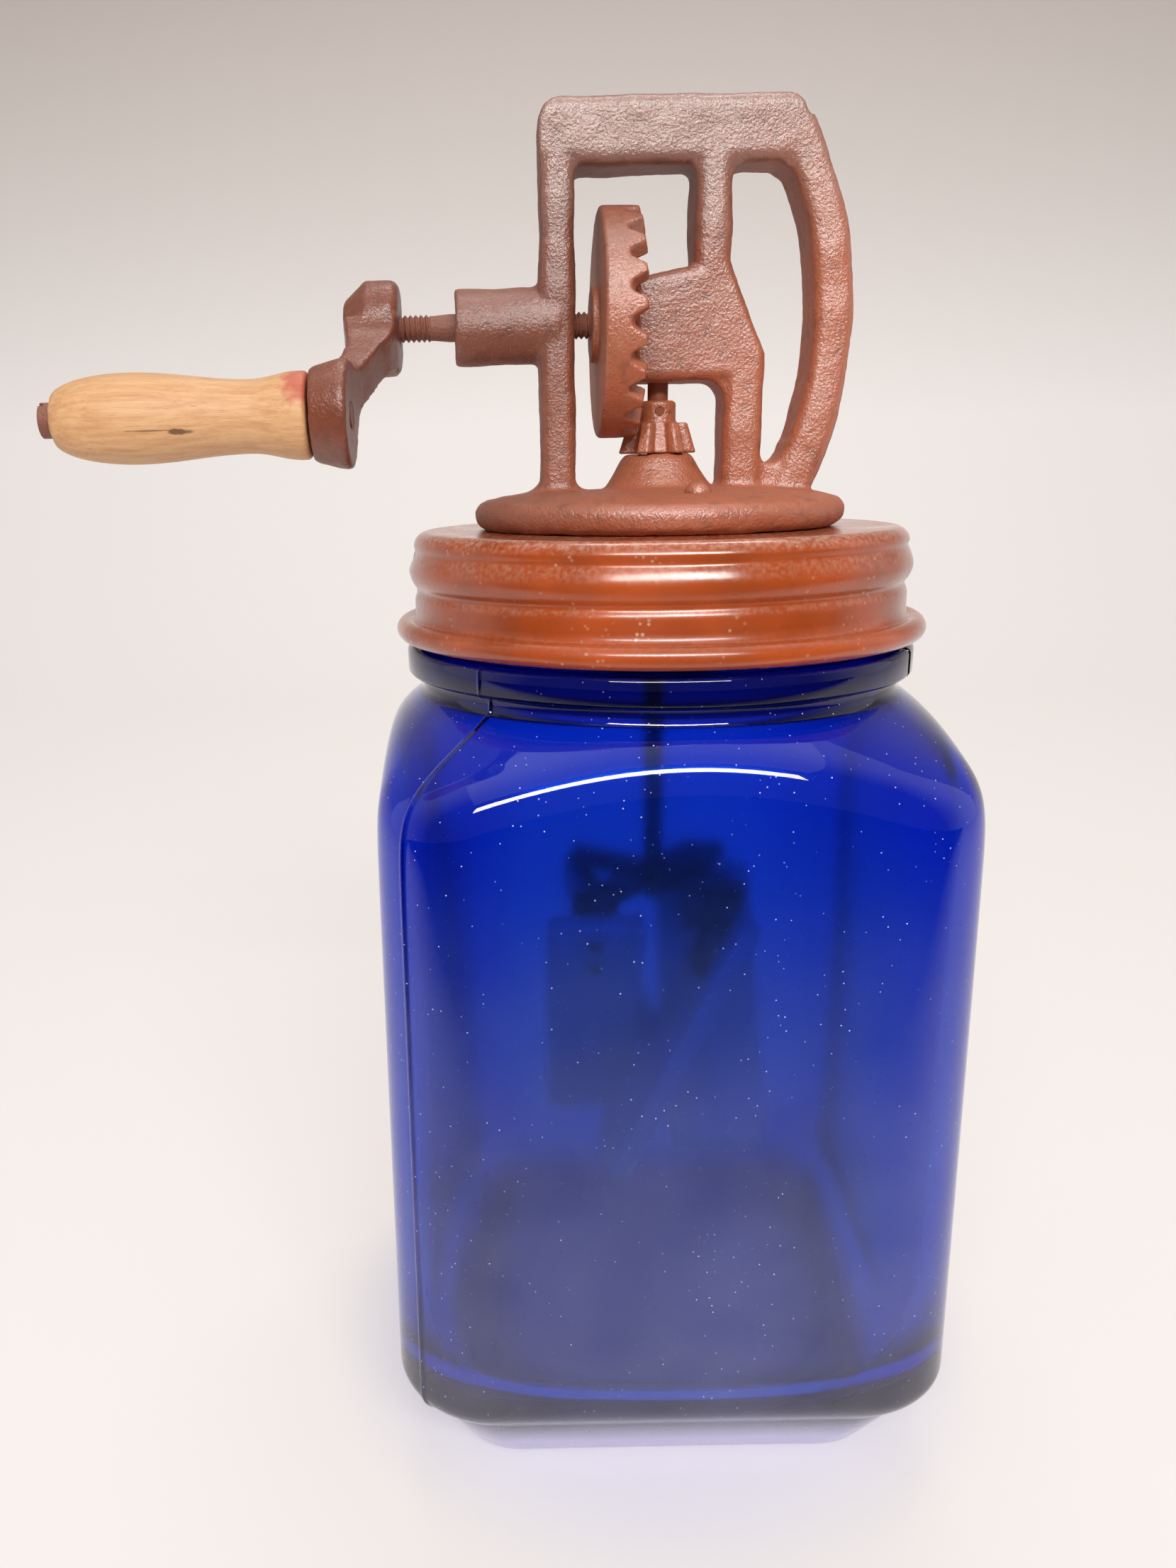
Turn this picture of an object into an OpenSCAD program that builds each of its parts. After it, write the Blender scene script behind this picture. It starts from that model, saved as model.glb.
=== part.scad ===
// Glass jar butter churn: a square glass jar with a screw lid, a cast gear frame on the lid,
// a hand crank with a wooden grip, and a wooden dasher that the crank drives through a bevel pair.
// Millimetres. The origin is the centre of the jar's foot, +Z is up and the crank is towards -X.

/* [Glass jar] */
// Width of the jar across its flat sides
jar_width = 138; // [128:1:150]
// Radius of the jar's upright corners
jar_corner = 23; // [16:1:30]
// Height from the foot to the rim of the neck
jar_height = 228; // [215:1:260]
// Thickness of the glass walls
glass_wall = 4.2; // [3:0.2:5]
// Thickness of the glass floor
glass_floor = 12; // [9:0.5:15]
// Width of the flat underside of the foot
foot_width = 106; // [96:1:112]
// Height of the sloping foot
foot_height = 18; // [14:1:22]
// Slope of the shoulder below the horizontal, in degrees
shoulder_slope = 28; // [22:1:34]

/* [Neck] */
// Outer diameter of the threaded neck
neck_diameter = 115; // [108:0.5:120]
// Height of the threaded neck above the collar
neck_height = 25; // [22:0.5:30]
// How far the thread stands out of the neck
thread_height = 1.2; // [0.6:0.1:1.4]
// Rise of the thread in one turn
thread_lead = 6.4; // [5:0.1:8]
// Diameter of the collar under the lid
collar_diameter = 127; // [124:1:132]
// Height of the collar
collar_height = 7.2; // [5:0.2:9]
// Diameter of the throat between collar and shoulder
throat_diameter = 120; // [116:1:123]
// Height of the throat
throat_height = 3.4; // [2:0.2:6]

/* [Lid] */
// Thickness of the lid's sheet metal
lid_sheet = 1; // [0.8:0.1:1.4]
// Room between the neck's thread and the lid's skirt
lid_clearance = 1.4; // [0.8:0.1:2]
// Radius of the rolled bead on the lid's lower edge
bead_radius = 2.7; // [2:0.1:3.2]
// Gap between the bead and the glass collar
collar_gap = 1.3; // [0.8:0.1:2.5]
// Thickness of the sealing ring inside the lid
gasket_thickness = 1.6; // [1:0.1:2.5]
// Width of the sealing ring
gasket_width = 6.5; // [5:0.5:8]

/* [Gear frame] */
// Depth of the casting from front to back
frame_depth = 16; // [13:0.5:18]
// Rounding of the casting's long edges
edge_round = 2.8; // [2:0.1:3.6]
// Diameter of the base plate on the lid
plate_diameter = 91; // [86:1:100]
// Thickness of the base plate at its middle
plate_thickness = 9.5; // [8:0.5:11]
// Height of the crankshaft above the lid
shaft_height = 48; // [46:0.5:52]
// Width of the upright posts
post_width = 8.4; // [7:0.2:10]
// Height of the top bar
bar_height = 14.6; // [12:0.2:18]
// Room between the gear and the underside of the top bar
gear_headroom = 7.7; // [3:0.1:12]
// Centre of the middle post, from the dasher's axis
middle_post_x = 11.7; // [10:0.1:13]
// Centre of the right leg, from the dasher's axis
leg_x = 19.8; // [18:0.1:21]
// Width of the right leg
leg_width = 9.6; // [8:0.2:11]
// Bend radius of the hand grip's centre line
handhold_radius = 88; // [84:1:92]
// How far the hand grip's centre line stands from the dasher's axis
handhold_reach = 40.8; // [39:0.1:43]
// Width of the hand grip
handhold_width = 9.6; // [8:0.2:11]
// Diameter of the crankshaft's bearing boss
boss_diameter = 17.4; // [15:0.2:20]
// Length of the bearing boss outside the left post
boss_length = 20; // [14:0.5:26]
// Depth of the crankshaft's seat in the web
web_seat = 12; // [8:0.5:13]
// Diameter of the screws that hold the frame to the lid
frame_screw_diameter = 4; // [3:0.1:5]
// Distance of those screws from the dasher's axis
frame_screw_radius = 25; // [24:0.5:28]

/* [Gears] */
// Outer radius of the drive gear
gear_radius = 26.3; // [25:0.1:27.5]
// Teeth on the drive gear
gear_teeth = 21; // [20:1:22]
// Teeth on the pinion
pinion_teeth = 6; // [6:1:6]
// Length of the drive gear's teeth along its radius
tooth_length = 4.3; // [3:0.1:5]
// How far the drive gear's teeth rise above the pitch cone
gear_addendum = 1.6; // [1.3:0.05:1.7]
// How far the pinion's teeth rise above the pitch cone
pinion_addendum = 0.75; // [0.5:0.05:0.9]
// Slope of the tooth flanks, in degrees
flank_angle = 30; // [28:1:32]
// Free play between the teeth
backlash = 0.85; // [0.7:0.05:1.1]
// Thickness of the drive gear behind its teeth
gear_thickness = 5.6; // [4:0.2:6.2]
// Height of the drive gear's hub
gear_hub = 1.6; // [1:0.1:2.5]
// Gap between the drive gear's hub and the left post
hub_gap = 4; // [3:0.2:6]
// Length of the pinion's hub above its teeth
pinion_hub = 5.2; // [4.4:0.1:6]
// Length of the pinion below the drive gear's rim
pinion_overhang = 3.9; // [3:0.1:4.4]

/* [Crank] */
// Diameter of the crankshaft
crank_diameter = 6.4; // [5:0.1:7]
// Length of crankshaft between the boss and the crank arm
crank_gap = 13.6; // [10:0.2:16]
// Distance from the crankshaft to the grip's axis
crank_throw = 43.6; // [38:0.2:50]
// Angle of the crank arm below the horizontal, in degrees
crank_angle = 29; // [0:1:90]
// Thickness of the crank arm
arm_thickness = 8.6; // [7.6:0.2:10]
// Radius of the arm's ends
arm_end = 11; // [9.5:0.2:12]
// Width of the arm's neck
arm_neck = 9.6; // [8.4:0.2:12]
// How far the arm steps outwards between its ends
arm_step = 8.4; // [6:0.2:9.6]
// Length of the wooden grip
grip_length = 55.4; // [48:0.2:62]
// Largest diameter of the grip
grip_diameter = 19.2; // [17:0.2:22]
// Diameter of the grip's neck
grip_neck = 15.4; // [13:0.2:17]
// Diameter of the screw that the grip turns on
grip_screw_diameter = 5; // [4:0.1:6]

/* [Dasher] */
// Diameter of the dasher's shaft
dasher_diameter = 5; // [4.6:0.1:5]
// Height of the middle of the paddles above the jar's foot
paddle_height = 99; // [80:1:110]
// Width of a paddle
paddle_width = 26; // [22:0.5:28]
// Length of a paddle
paddle_length = 78; // [66:1:84]
// Thickness of a paddle
paddle_thickness = 6; // [4:0.2:7]
// Pitch of the paddles from upright, in degrees
paddle_pitch = 26; // [20:1:30]
// Distance of a paddle's middle from the dasher's axis
paddle_reach = 17; // [16:0.5:19]
// How far a paddle's middle is set forward of its arm
paddle_lead = 4.5; // [3:0.5:6]
// Thickness of the spider's sheet metal
spider_sheet = 2.5; // [2:0.1:3]
// Diameter of the rivets through the paddles
rivet_diameter = 2.4; // [2:0.1:3]

/* [Hidden] */
$fn = 64;

// Clearances
fixed_fit = 0.02;
running_fit = 0.05;
grip_fit = 0.1;
end_play = 0.3;
thrust_gap = 0.1;

// Colours
GLASS = [0.07, 0.12, 0.55, 0.6];
LID_PAINT = "#B4532B";
IRON_PAINT = "#8A4A35";
STEEL = "#6B6662";
GRIP_WOOD = "#E3BE8C";
PADDLE_WOOD = "#B9925F";
RUBBER = "#7A3B30";

// Heights of the jar and lid
jar_half = jar_width / 2;
collar_top = jar_height - neck_height;
collar_foot = collar_top - collar_height;
shoulder_top = collar_foot - throat_height;
lid_underside = jar_height + gasket_thickness;
lid_top = lid_underside + lid_sheet;
bead_z = collar_top + collar_gap + bead_radius;
lid_inner = neck_diameter / 2 + thread_height + lid_clearance;
lid_outer = lid_inner + lid_sheet;
lid_roll = 0.6;
lid_shoulder = 3;
shaft_hole = 4.5;

// Shape of the jar
jar_sides = 64;
shoulder_blend = 14;
heel_height = 10;
foot_corner = 15;
heel_inset = 5.5;
neck_bore = neck_diameter / 2 - glass_wall;
thread_width = 3;
thread_turns = 1.25;
thread_start = 5.5;
collar_notch = 2;
collar_notch_angle = -28;
FAR = 1000;

// Bevel pair: both cones meet where the crankshaft's axis crosses the dasher's
axis_z = lid_top + shaft_height;
cone = pinion_teeth / gear_teeth;
mid_radius = gear_radius - tooth_length / 2;
mid_pitch = mid_radius * cone;
circular_pitch = 2 * PI * mid_radius / gear_teeth;
tooth_clearance = 0.3;
gear_dedendum = pinion_addendum + 1;
gear_gap_half = circular_pitch / 4 + 0.04;
pinion_tooth_half = gear_gap_half - backlash / 2;
pinion_root = mid_pitch - gear_addendum - tooth_clearance;
pinion_tip = mid_pitch + pinion_addendum;
pinion_top = gear_radius - tooth_length + 1;
pinion_foot = gear_radius + pinion_overhang;
pinion_hub_radius = dasher_diameter / 2 + 1.9;
gear_tip_x = -gear_radius * (mid_pitch - gear_addendum) / mid_radius;
gear_root_x = -gear_radius * (mid_pitch + gear_dedendum) / mid_radius;
gear_back_x = gear_root_x - gear_thickness;
gear_face_x = gear_root_x - 0.6;
gear_hub_radius = 8.7;

// Frame places
post_in_x = gear_back_x - gear_hub - hub_gap;
post_x = post_in_x - post_width / 2;
window_top = axis_z + gear_radius + gear_headroom;
frame_top = window_top + bar_height;
bar_left = post_in_x - post_width;
bar_corner = 6;
web_left = gear_face_x + 2.9;
web_half_height = 13;
web_foot = axis_z - web_half_height - 0.5;
web_top = axis_z + web_half_height;
boss_end_x = bar_left - boss_length;
pinion_seat = axis_z - pinion_foot - thrust_gap;
plate_top = lid_top + plate_thickness;
handhold_x = handhold_reach - handhold_radius;
grip_foot_angle = -asin((axis_z - lid_top - plate_thickness * 0.6) / handhold_radius);
grip_top_angle = asin((frame_top - bar_height * 0.45 - axis_z) / handhold_radius);
bar_right = handhold_x + handhold_radius * cos(grip_top_angle);
crank_bore = crank_diameter / 2 + running_fit;
dasher_bore = dasher_diameter / 2 + running_fit;
dasher_top = web_foot + 7.4;
screw_seat = plate_top - 1.1;
frame_screw_angles = [-75, 75];
screw_head = frame_screw_diameter * 0.8;
nut_height = 3.2;
arch = bar_height * 0.68;
foot_rise = 5.5;

// Inner edge of the hand grip at a height
function handhold_in(z) = handhold_x
    + sqrt(pow(handhold_radius - handhold_width / 2, 2) - pow(z - axis_z, 2));

// Crank places, from the crankshaft's axis
arm_in_x = boss_end_x - crank_gap;
arm_hub_width = arm_thickness * 1.535;
arm_out_x = arm_in_x - arm_hub_width;
arm_foot_out = arm_step + arm_thickness;
arm_foot = arm_end * 1.04;
// Side lines of the crank arm: place along it, inner face as part of the step, width as part of the thickness
arm_lines = [[-0.3, 0, 1.535], [0.09, 0, 1.535], [0.2, 0.01, 1.43], [0.32, 0.16, 1.2], [0.41, 0.36, 0.98],
             [0.505, 0.52, 0.87], [0.6, 0.67, 0.8], [0.69, 0.83, 0.79], [0.78, 0.95, 0.85],
             [0.86, 1, 0.94], [0.94, 1, 1], [1.3, 1, 1]];
grip_in_x = arm_in_x - arm_foot_out - end_play;
grip_out_x = grip_in_x - grip_length;
grip_head = 2.2;
thread_pitch = 1.27;

// Dasher places
blade_tilt = [0, paddle_pitch, 0];
tab_top = paddle_length * 0.564;
tab_foot = paddle_length * 0.256;
tab_width = paddle_width * 0.46;
tab_x = -paddle_thickness / 2 - spider_sheet / 2;
arm_tip = [paddle_lead + tab_x * cos(paddle_pitch) + tab_top * sin(paddle_pitch), -paddle_reach];
spider_z = paddle_height - tab_x * sin(paddle_pitch) + tab_top * cos(paddle_pitch) - spider_sheet;
spider_hub = 7;
spider_arm_width = 10;
spider_nut_height = 3.6;
shaft_end_radius = dasher_diameter / 2 - 0.6;
rivet_rows = [paddle_length * 0.423, paddle_length * 0.32];
rivet_head = 1;

// Points along an arc
function arc(x, y, r, a0, a1, n = 4) =
    [for (i = [0:n]) let (a = a0 + (a1 - a0) * i / n) [x + r * cos(a), y + r * sin(a)]];

// Rectangle with rounded corners, centred
function round_rect(w, d, r) = concat(
    arc(w / 2 - r, d / 2 - r, r, 0, 90), arc(r - w / 2, d / 2 - r, r, 90, 180),
    arc(r - w / 2, r - d / 2, r, 180, 270), arc(w / 2 - r, r - d / 2, r, 270, 360));

// Concave fillet that fills a square corner at the origin, in the first quadrant
function fillet(r) = concat([[0, 0]], arc(r, r, r, 270, 180));

// Distance from the middle to a rounded square's edge in the direction a
function square_edge(a, half, corner) =
    let (b = abs(((a % 90) + 90) % 90 - 45), m = (half - corner) * sqrt(2))
    45 - b < atan((half - corner) / half)
        ? half / cos(45 - b)
        : m * cos(b) + sqrt(corner * corner - m * m * sin(b) * sin(b));

// Smooth lesser of two radii, which rounds the edge where the shoulder meets the sides
function blend_min(a, b) = pow(pow(a, -shoulder_blend) + pow(b, -shoulder_blend), -1 / shoulder_blend);

// Height of the neck's thread at an angle and a height above the collar
function thread_bump(a, h) =
    let (rise = [for (t = [0:2]) h - thread_start - thread_lead * (a / 360 + t)],
         turn = [for (t = [0:2]) a / 360 + t],
         near = [for (t = [0:2])
             abs(rise[t]) < thread_width / 2 && turn[t] < thread_turns
                 ? cos(rise[t] / thread_width * 180) * min(1, 12 * turn[t], 12 * (thread_turns - turn[t]))
                 : 0])
    thread_height * max(near);

// One ring of the jar's surface: its height, half width, corner, round limit and thread
function jar_ring(z, half, corner, limit, threaded = false) =
    [for (i = [0:jar_sides - 1])
        let (a = 360 * i / jar_sides,
             r = blend_min(square_edge(a, half, corner), limit)
                 + (threaded ? thread_bump(a, z - collar_top) : 0))
        [r * cos(a), r * sin(a), z]];

// Radius of the conical shoulder at a height
function shoulder(z, wall) = throat_diameter / 2 - wall + max(0, shoulder_top - z) / tan(shoulder_slope);

// Half width of the body at a height: the sloping foot, then a rounded heel
function body_half(z, wall) =
    let (t = min(1, max(0, (z - foot_height) / heel_height)))
    z < foot_height
        ? foot_width / 2 + (jar_half - heel_inset - foot_width / 2) * z / foot_height - wall
        : jar_half - heel_inset * pow(1 - t, 2) - wall;

// Corner radius of the body at a height
function body_corner(z, wall) =
    foot_corner + (jar_corner - foot_corner) * min(1, z / (foot_height + heel_height)) - wall / 2;

// Rings up the outside of the jar
foot_rows = [0, foot_height];
heel_rows = [for (t = [0.2, 0.45, 0.7, 1]) foot_height + heel_height * t];
shoulder_rows = [for (d = [42, 34, 28, 23, 19, 15.5, 12, 9, 6, 3, 0]) shoulder_top - d];
outer_rows = concat(foot_rows, heel_rows, shoulder_rows);
thread_rows = [for (h = [3:1.5:neck_height - 4]) collar_top + h];
outer_rings = concat(
    [for (z = outer_rows) jar_ring(z, body_half(z, 0), body_corner(z, 0), shoulder(z, 0))],
    [for (p = [[collar_foot, throat_diameter], [collar_foot + 1, collar_diameter],
               [collar_top - 1, collar_diameter], [collar_top, neck_diameter]])
        jar_ring(p[0], FAR, 1, p[1] / 2)],
    [for (z = thread_rows) jar_ring(z, FAR, 1, neck_diameter / 2, true)],
    [jar_ring(jar_height, FAR, 1, neck_diameter / 2)]);

// Rings down the inside of the jar
inner_heel_rows = [for (t = [1, 0.6, 0.25]) foot_height + heel_height * t];
inner_shoulder_rows = [for (d = [2, 6, 10, 14, 18, 23, 29, 36, 44]) shoulder_top - d];
inner_rings = concat(
    [jar_ring(jar_height, FAR, 1, neck_bore), jar_ring(collar_foot, FAR, 1, neck_bore)],
    [for (z = concat(inner_shoulder_rows, inner_heel_rows))
        jar_ring(z, body_half(z, glass_wall), body_corner(z, glass_wall),
                 max(neck_bore, shoulder(z, glass_wall * 1.6)))],
    [jar_ring(glass_floor, body_half(glass_floor, glass_wall * 1.6),
              body_corner(glass_floor, glass_wall * 1.6), FAR)]);

// Middle of a ring of points
function middle(ring) = [for (k = [0:2]) let (v = [for (p = ring) p[k]]) v * [for (p = ring) 1 / len(ring)]];

// Closed shell through a list of equal rings, with flat ends that fan out from their middles
module ring_shell(rings) {
    n = len(rings[0]);
    m = len(rings);
    last = (m - 1) * n;
    polyhedron(
        points = concat([for (ring = rings) each ring], [middle(rings[0]), middle(rings[m - 1])]),
        faces = concat(
            [for (j = [0:n - 1]) [m * n, j, (j + 1) % n]],
            [for (j = [0:n - 1]) [m * n + 1, last + (j + 1) % n, last + j]],
            [for (i = [0:m - 2], j = [0:n - 1], half = [0, 1])
                let (a = i * n + j, b = i * n + (j + 1) % n)
                half == 0 ? [a, a + n, b] : [b, a + n, b + n]]));
}

// Round bar along +X through a height, from x0 to x1
module x_rod(x0, x1, r, z = axis_z) {
    translate([x0, 0, z]) rotate([0, 90, 0]) cylinder(r = r, h = x1 - x0);
}

// Upright bar of the casting with rounded edges
module upright_bar(x, w, z0, z1) {
    translate([x, 0, z0]) linear_extrude(z1 - z0) polygon(round_rect(w, frame_depth, edge_round));
}

// Flat outline in the XZ plane, given depth about the middle plane
module slab(depth) {
    translate([0, depth / 2, 0]) rotate([90, 0, 0]) linear_extrude(depth) children();
}

// Fillet of the casting at a corner, opening towards sx and sz
module frame_fillet(x, z, r, sx, sz = 1) {
    slab(frame_depth - edge_round)
        polygon([for (p = fillet(r)) [x + sx * p[0], z + sz * p[1]]]);
}

module glass_jar() {
    color(GLASS) difference() {
        ring_shell(concat(outer_rings, inner_rings));
        rotate([0, 0, collar_notch_angle])
            translate([collar_diameter / 2 - collar_notch, -collar_notch / 2, collar_foot - 0.5])
                cube([2 * collar_notch, collar_notch, collar_height + 1]);
    }
}

module lid_gasket() {
    outer = neck_diameter / 2;
    color(RUBBER) translate([0, 0, jar_height]) difference() {
        cylinder(r = outer, h = gasket_thickness);
        translate([0, 0, -1]) cylinder(r = outer - gasket_width, h = gasket_thickness + 2);
    }
}

// Lid section: top, rounded shoulder, rolled thread band, flat skirt and curled bead
module lid_section() {
    skirt = lid_top - bead_z;
    band = [[-lid_roll, 0.3], [lid_roll, 0.37], [lid_roll, 0.56], [-lid_roll, 0.63], [0, 0.7]];
    bead_x = lid_outer + bead_radius * 0.8;
    outer = concat(
        arc(lid_outer - lid_shoulder, lid_top - lid_shoulder, lid_shoulder, 90, 0),
        [[lid_outer, lid_top - skirt * 0.25]],
        [for (b = band) [lid_outer + b[0], lid_top - skirt * b[1]]],
        [[lid_outer, bead_z + bead_radius * 1.05]],
        arc(bead_x, bead_z, bead_radius, 120, -180, 10));
    inner = concat(
        [for (i = [len(band) - 1:-1:0]) [lid_inner + band[i][0], lid_top - skirt * band[i][1]]],
        [[lid_inner, lid_underside]]);
    polygon(concat([[0, lid_top]], outer, [[lid_inner, bead_z]], inner, [[0, lid_underside]]));
}

module screw_lid() {
    color(LID_PAINT) difference() {
        rotate_extrude() lid_section();
        translate([0, 0, lid_underside - 1]) cylinder(r = shaft_hole, h = lid_sheet + 2);
        frame_screw_holes(frame_screw_diameter / 2 + 0.2, lid_underside - 1, lid_sheet + 2);
    }
}

// Upright holes at the two frame screws
module frame_screw_holes(r, z, h) {
    for (a = frame_screw_angles)
        rotate([0, 0, a]) translate([frame_screw_radius, 0, z]) cylinder(r = r, h = h);
}

module frame_plate() {
    rim = plate_diameter / 2;
    rotate_extrude() polygon([
        [0, lid_top], [rim - 3, lid_top], [rim - 0.7, lid_top + 1.4], [rim, lid_top + 3.2],
        [rim, lid_top + 5], [rim - 1.5, lid_top + 6.8], [rim - 7, plate_top - 1.4],
        [rim - 18, plate_top - 0.4], [rim - 26, plate_top], [0, plate_top]]);
}

// Flared seat that the pinion turns on
module pinion_seat_boss() {
    top = pinion_tip * 1.15;
    rotate_extrude() polygon([
        [0, plate_top - 2], [top + 5.4, plate_top - 2], [top + 4.6, plate_top],
        [top + 1.8, plate_top + (pinion_seat - plate_top) * 0.5], [top, pinion_seat - 1],
        [top - 1, pinion_seat], [0, pinion_seat]]);
}

module top_bar() {
    intersection() {
        translate([bar_left, 0, frame_top - bar_height / 2]) rotate([90, 0, 90])
            linear_extrude(bar_right - bar_left + post_width)
                polygon(round_rect(frame_depth, bar_height, edge_round));
        slab(frame_depth + 2) polygon(concat(
            [[bar_left, window_top - 1], [bar_right + post_width * 0.8, window_top - 1]],
            arc(bar_right - post_width * 0.3, frame_top - 5, 5, 30, 90),
            arc(bar_left + bar_corner, frame_top - bar_corner, bar_corner, 90, 180)));
    }
}

// Web block between the posts, which holds the shafts' inner ends
module web_block() {
    right = leg_x + leg_width / 2;
    hull() {
        slab(frame_depth - edge_round) polygon([
            [web_left, web_foot], [right, web_foot], [right, web_foot + 6],
            [middle_post_x + post_width / 2, web_top], [middle_post_x, web_top],
            [web_left, web_top - 3.4]]);
        slab(frame_depth) polygon([
            [web_left + 1.4, web_foot + 1.4], [right - 1.4, web_foot + 1.4], [right - 1.4, web_foot + 6],
            [middle_post_x + post_width / 2 - 1.2, web_top - 1.4], [web_left + 1.4, web_top - 4.8]]);
    }
}

module handhold() {
    translate([handhold_x, 0, axis_z]) rotate([90, 0, 0]) rotate([0, 0, grip_foot_angle])
        rotate_extrude(angle = grip_top_angle - grip_foot_angle)
            translate([handhold_radius, 0])
                polygon(round_rect(handhold_width, frame_depth, edge_round));
}

module gear_frame() {
    leg_in = leg_x - leg_width / 2;
    leg_out = leg_x + leg_width / 2;
    foot_top = plate_top + foot_rise;
    grip_foot_x = handhold_x + handhold_radius * cos(asin((axis_z - plate_top) / handhold_radius));
    color(IRON_PAINT) difference() {
        union() {
            frame_plate();
            pinion_seat_boss();
            upright_bar(post_x, post_width, plate_top - 3, frame_top - bar_height / 2);
            upright_bar(middle_post_x, post_width, web_top - 4, frame_top - bar_height / 2);
            upright_bar(leg_x, leg_width, plate_top - 3, web_foot + 6);
            top_bar();
            web_block();
            handhold();
            x_rod(boss_end_x, post_x, boss_diameter / 2);
            frame_fillet(post_in_x - 1, plate_top - 1, 6, 1);
            frame_fillet(bar_left + 1, plate_top - 1, 6, -1);
            frame_fillet(leg_in + 0.5, web_foot + 0.5, 6, -1, -1);
            frame_fillet(leg_in + 1, plate_top - 1, 5, -1);
            slab(frame_depth - edge_round) translate([leg_in, plate_top - 1])
                square([grip_foot_x + 1 - leg_in, foot_rise + 1]);
            frame_fillet(leg_out - 1, foot_top - 1, 5, 1);
            frame_fillet(handhold_in(foot_top) + 1.5, foot_top - 1, 6, -1);
            frame_fillet(middle_post_x - post_width / 2 + 1, window_top + 1, 5, -1, -1);
            frame_fillet(post_in_x - 1, window_top + 1, 5, 1, -1);
            frame_fillet(middle_post_x + post_width / 2 - 1, window_top + 1, arch * 0.7, 1, -1);
            frame_fillet(handhold_in(window_top + 1 - arch) + 0.4, window_top + 1, arch, -1, -1);
        }
        x_rod(boss_end_x - 1, web_left + web_seat, crank_bore);
        translate([0, 0, lid_top - 1]) cylinder(r = dasher_bore, h = dasher_top + 0.4 - lid_top + 1);
        frame_screw_holes(frame_screw_diameter / 2 + 0.1, lid_top - 1, plate_thickness + 2);
        frame_screw_holes(screw_head + 0.6, screw_seat, plate_thickness);
    }
}

module frame_screws() {
    tip = lid_underside - nut_height - 1.4;
    color(IRON_PAINT) for (a = frame_screw_angles)
        rotate([0, 0, a]) translate([frame_screw_radius, 0, 0]) rotate_extrude()
            polygon(concat(
                [[0, tip], [frame_screw_diameter / 2, tip], [frame_screw_diameter / 2, screw_seat],
                 [screw_head, screw_seat]],
                arc(0, screw_seat, screw_head, 12, 84, 6),
                [[0, screw_seat + screw_head]]));
}

module frame_nuts() {
    color(STEEL) for (a = frame_screw_angles)
        rotate([0, 0, a]) translate([frame_screw_radius, 0, lid_underside - nut_height]) difference() {
            cylinder(d = frame_screw_diameter * 2, h = nut_height, $fn = 6);
            translate([0, 0, -1])
                cylinder(r = frame_screw_diameter / 2 + fixed_fit, h = nut_height + 2);
        }
}

// Thread crests and roots along a shaft, as pairs of radius and place
function thread_zone(from, to, crest) =
    let (turns = floor((to - from) / thread_pitch))
    [for (i = [0:turns - 1]) each [
        [crest, from + i * thread_pitch],
        [crest - thread_pitch * 0.5, from + (i + 0.5) * thread_pitch]]];

module crankshaft() {
    r = crank_diameter / 2;
    arm_threads = thread_zone(arm_in_x + 0.2, arm_in_x + crank_gap * 0.58, r);
    gear_threads = thread_zone(post_in_x + 0.3, gear_back_x - gear_hub - 0.1, r);
    end = web_left + web_seat - 0.4;
    color(IRON_PAINT) translate([0, 0, axis_z]) rotate([0, 90, 0]) rotate_extrude()
        polygon(concat([[0, arm_out_x], [r, arm_out_x]], arm_threads, [[r, arm_in_x + crank_gap * 0.6]],
                       gear_threads, [[r, gear_back_x - gear_hub], [r, end], [0, end]]));
}

// One tooth gap of the drive gear, drawn at the mid radius and scaled from the cones' apex
module gear_gap() {
    reach = gear_addendum + 1;
    slope = tan(flank_angle);
    wide = gear_gap_half + slope * reach;
    narrow = gear_gap_half - slope * gear_dedendum;
    section = [[-wide, -mid_pitch + reach], [wide, -mid_pitch + reach],
               [narrow, -mid_pitch - gear_dedendum], [-narrow, -mid_pitch - gear_dedendum]];
    ring_shell([for (s = [1.2, 0.8]) [for (p = section) [s * p[1], s * p[0], -s * mid_radius]]]);
}

module drive_gear() {
    ring_in = gear_radius - tooth_length;
    ring_tip = gear_tip_x * ring_in / gear_radius;
    bore = crank_diameter / 2 + fixed_fit;
    color(IRON_PAINT) translate([0, 0, axis_z]) difference() {
        rotate([0, 90, 0]) rotate_extrude() polygon([
            [bore, gear_back_x - gear_hub], [gear_hub_radius, gear_back_x - gear_hub],
            [gear_hub_radius, gear_back_x], [gear_radius - 0.6, gear_back_x],
            [gear_radius, gear_back_x + 0.6], [gear_radius, gear_tip_x], [ring_in, ring_tip],
            [ring_in, gear_face_x], [bore, gear_face_x]]);
        for (i = [0:gear_teeth - 1]) rotate([360 * i / gear_teeth, 0, 0]) gear_gap();
    }
}

// S-shaped side outline of the crank arm: along the arm, and outwards from its inner face
module arm_side() {
    inner = [for (l = arm_lines) [l[0] * crank_throw, l[1] * arm_step]];
    outer = [for (i = [len(arm_lines) - 1:-1:0]) let (l = arm_lines[i])
        [l[0] * crank_throw, l[1] * arm_step + l[2] * arm_thickness]];
    polygon(concat(inner, outer));
}

// Neck of the crank arm seen along the crankshaft, with a fillet at the root of each round end
module arm_neck_plan() {
    r = arm_neck * 0.8;
    c = arm_neck / 2 + r;
    near = sqrt(pow(arm_end + r, 2) - c * c);
    far = sqrt(pow(arm_foot + r, 2) - c * c);
    side = concat(arc(near, c, r, 180 + atan2(c, near), 270),
                  arc(crank_throw - far, c, r, 270, 360 - atan2(c, far)));
    polygon(concat([[0, 0]], side, [[crank_throw, 0]],
                   [for (i = [len(side) - 1:-1:0]) [side[i][0], -side[i][1]]]));
}

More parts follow.
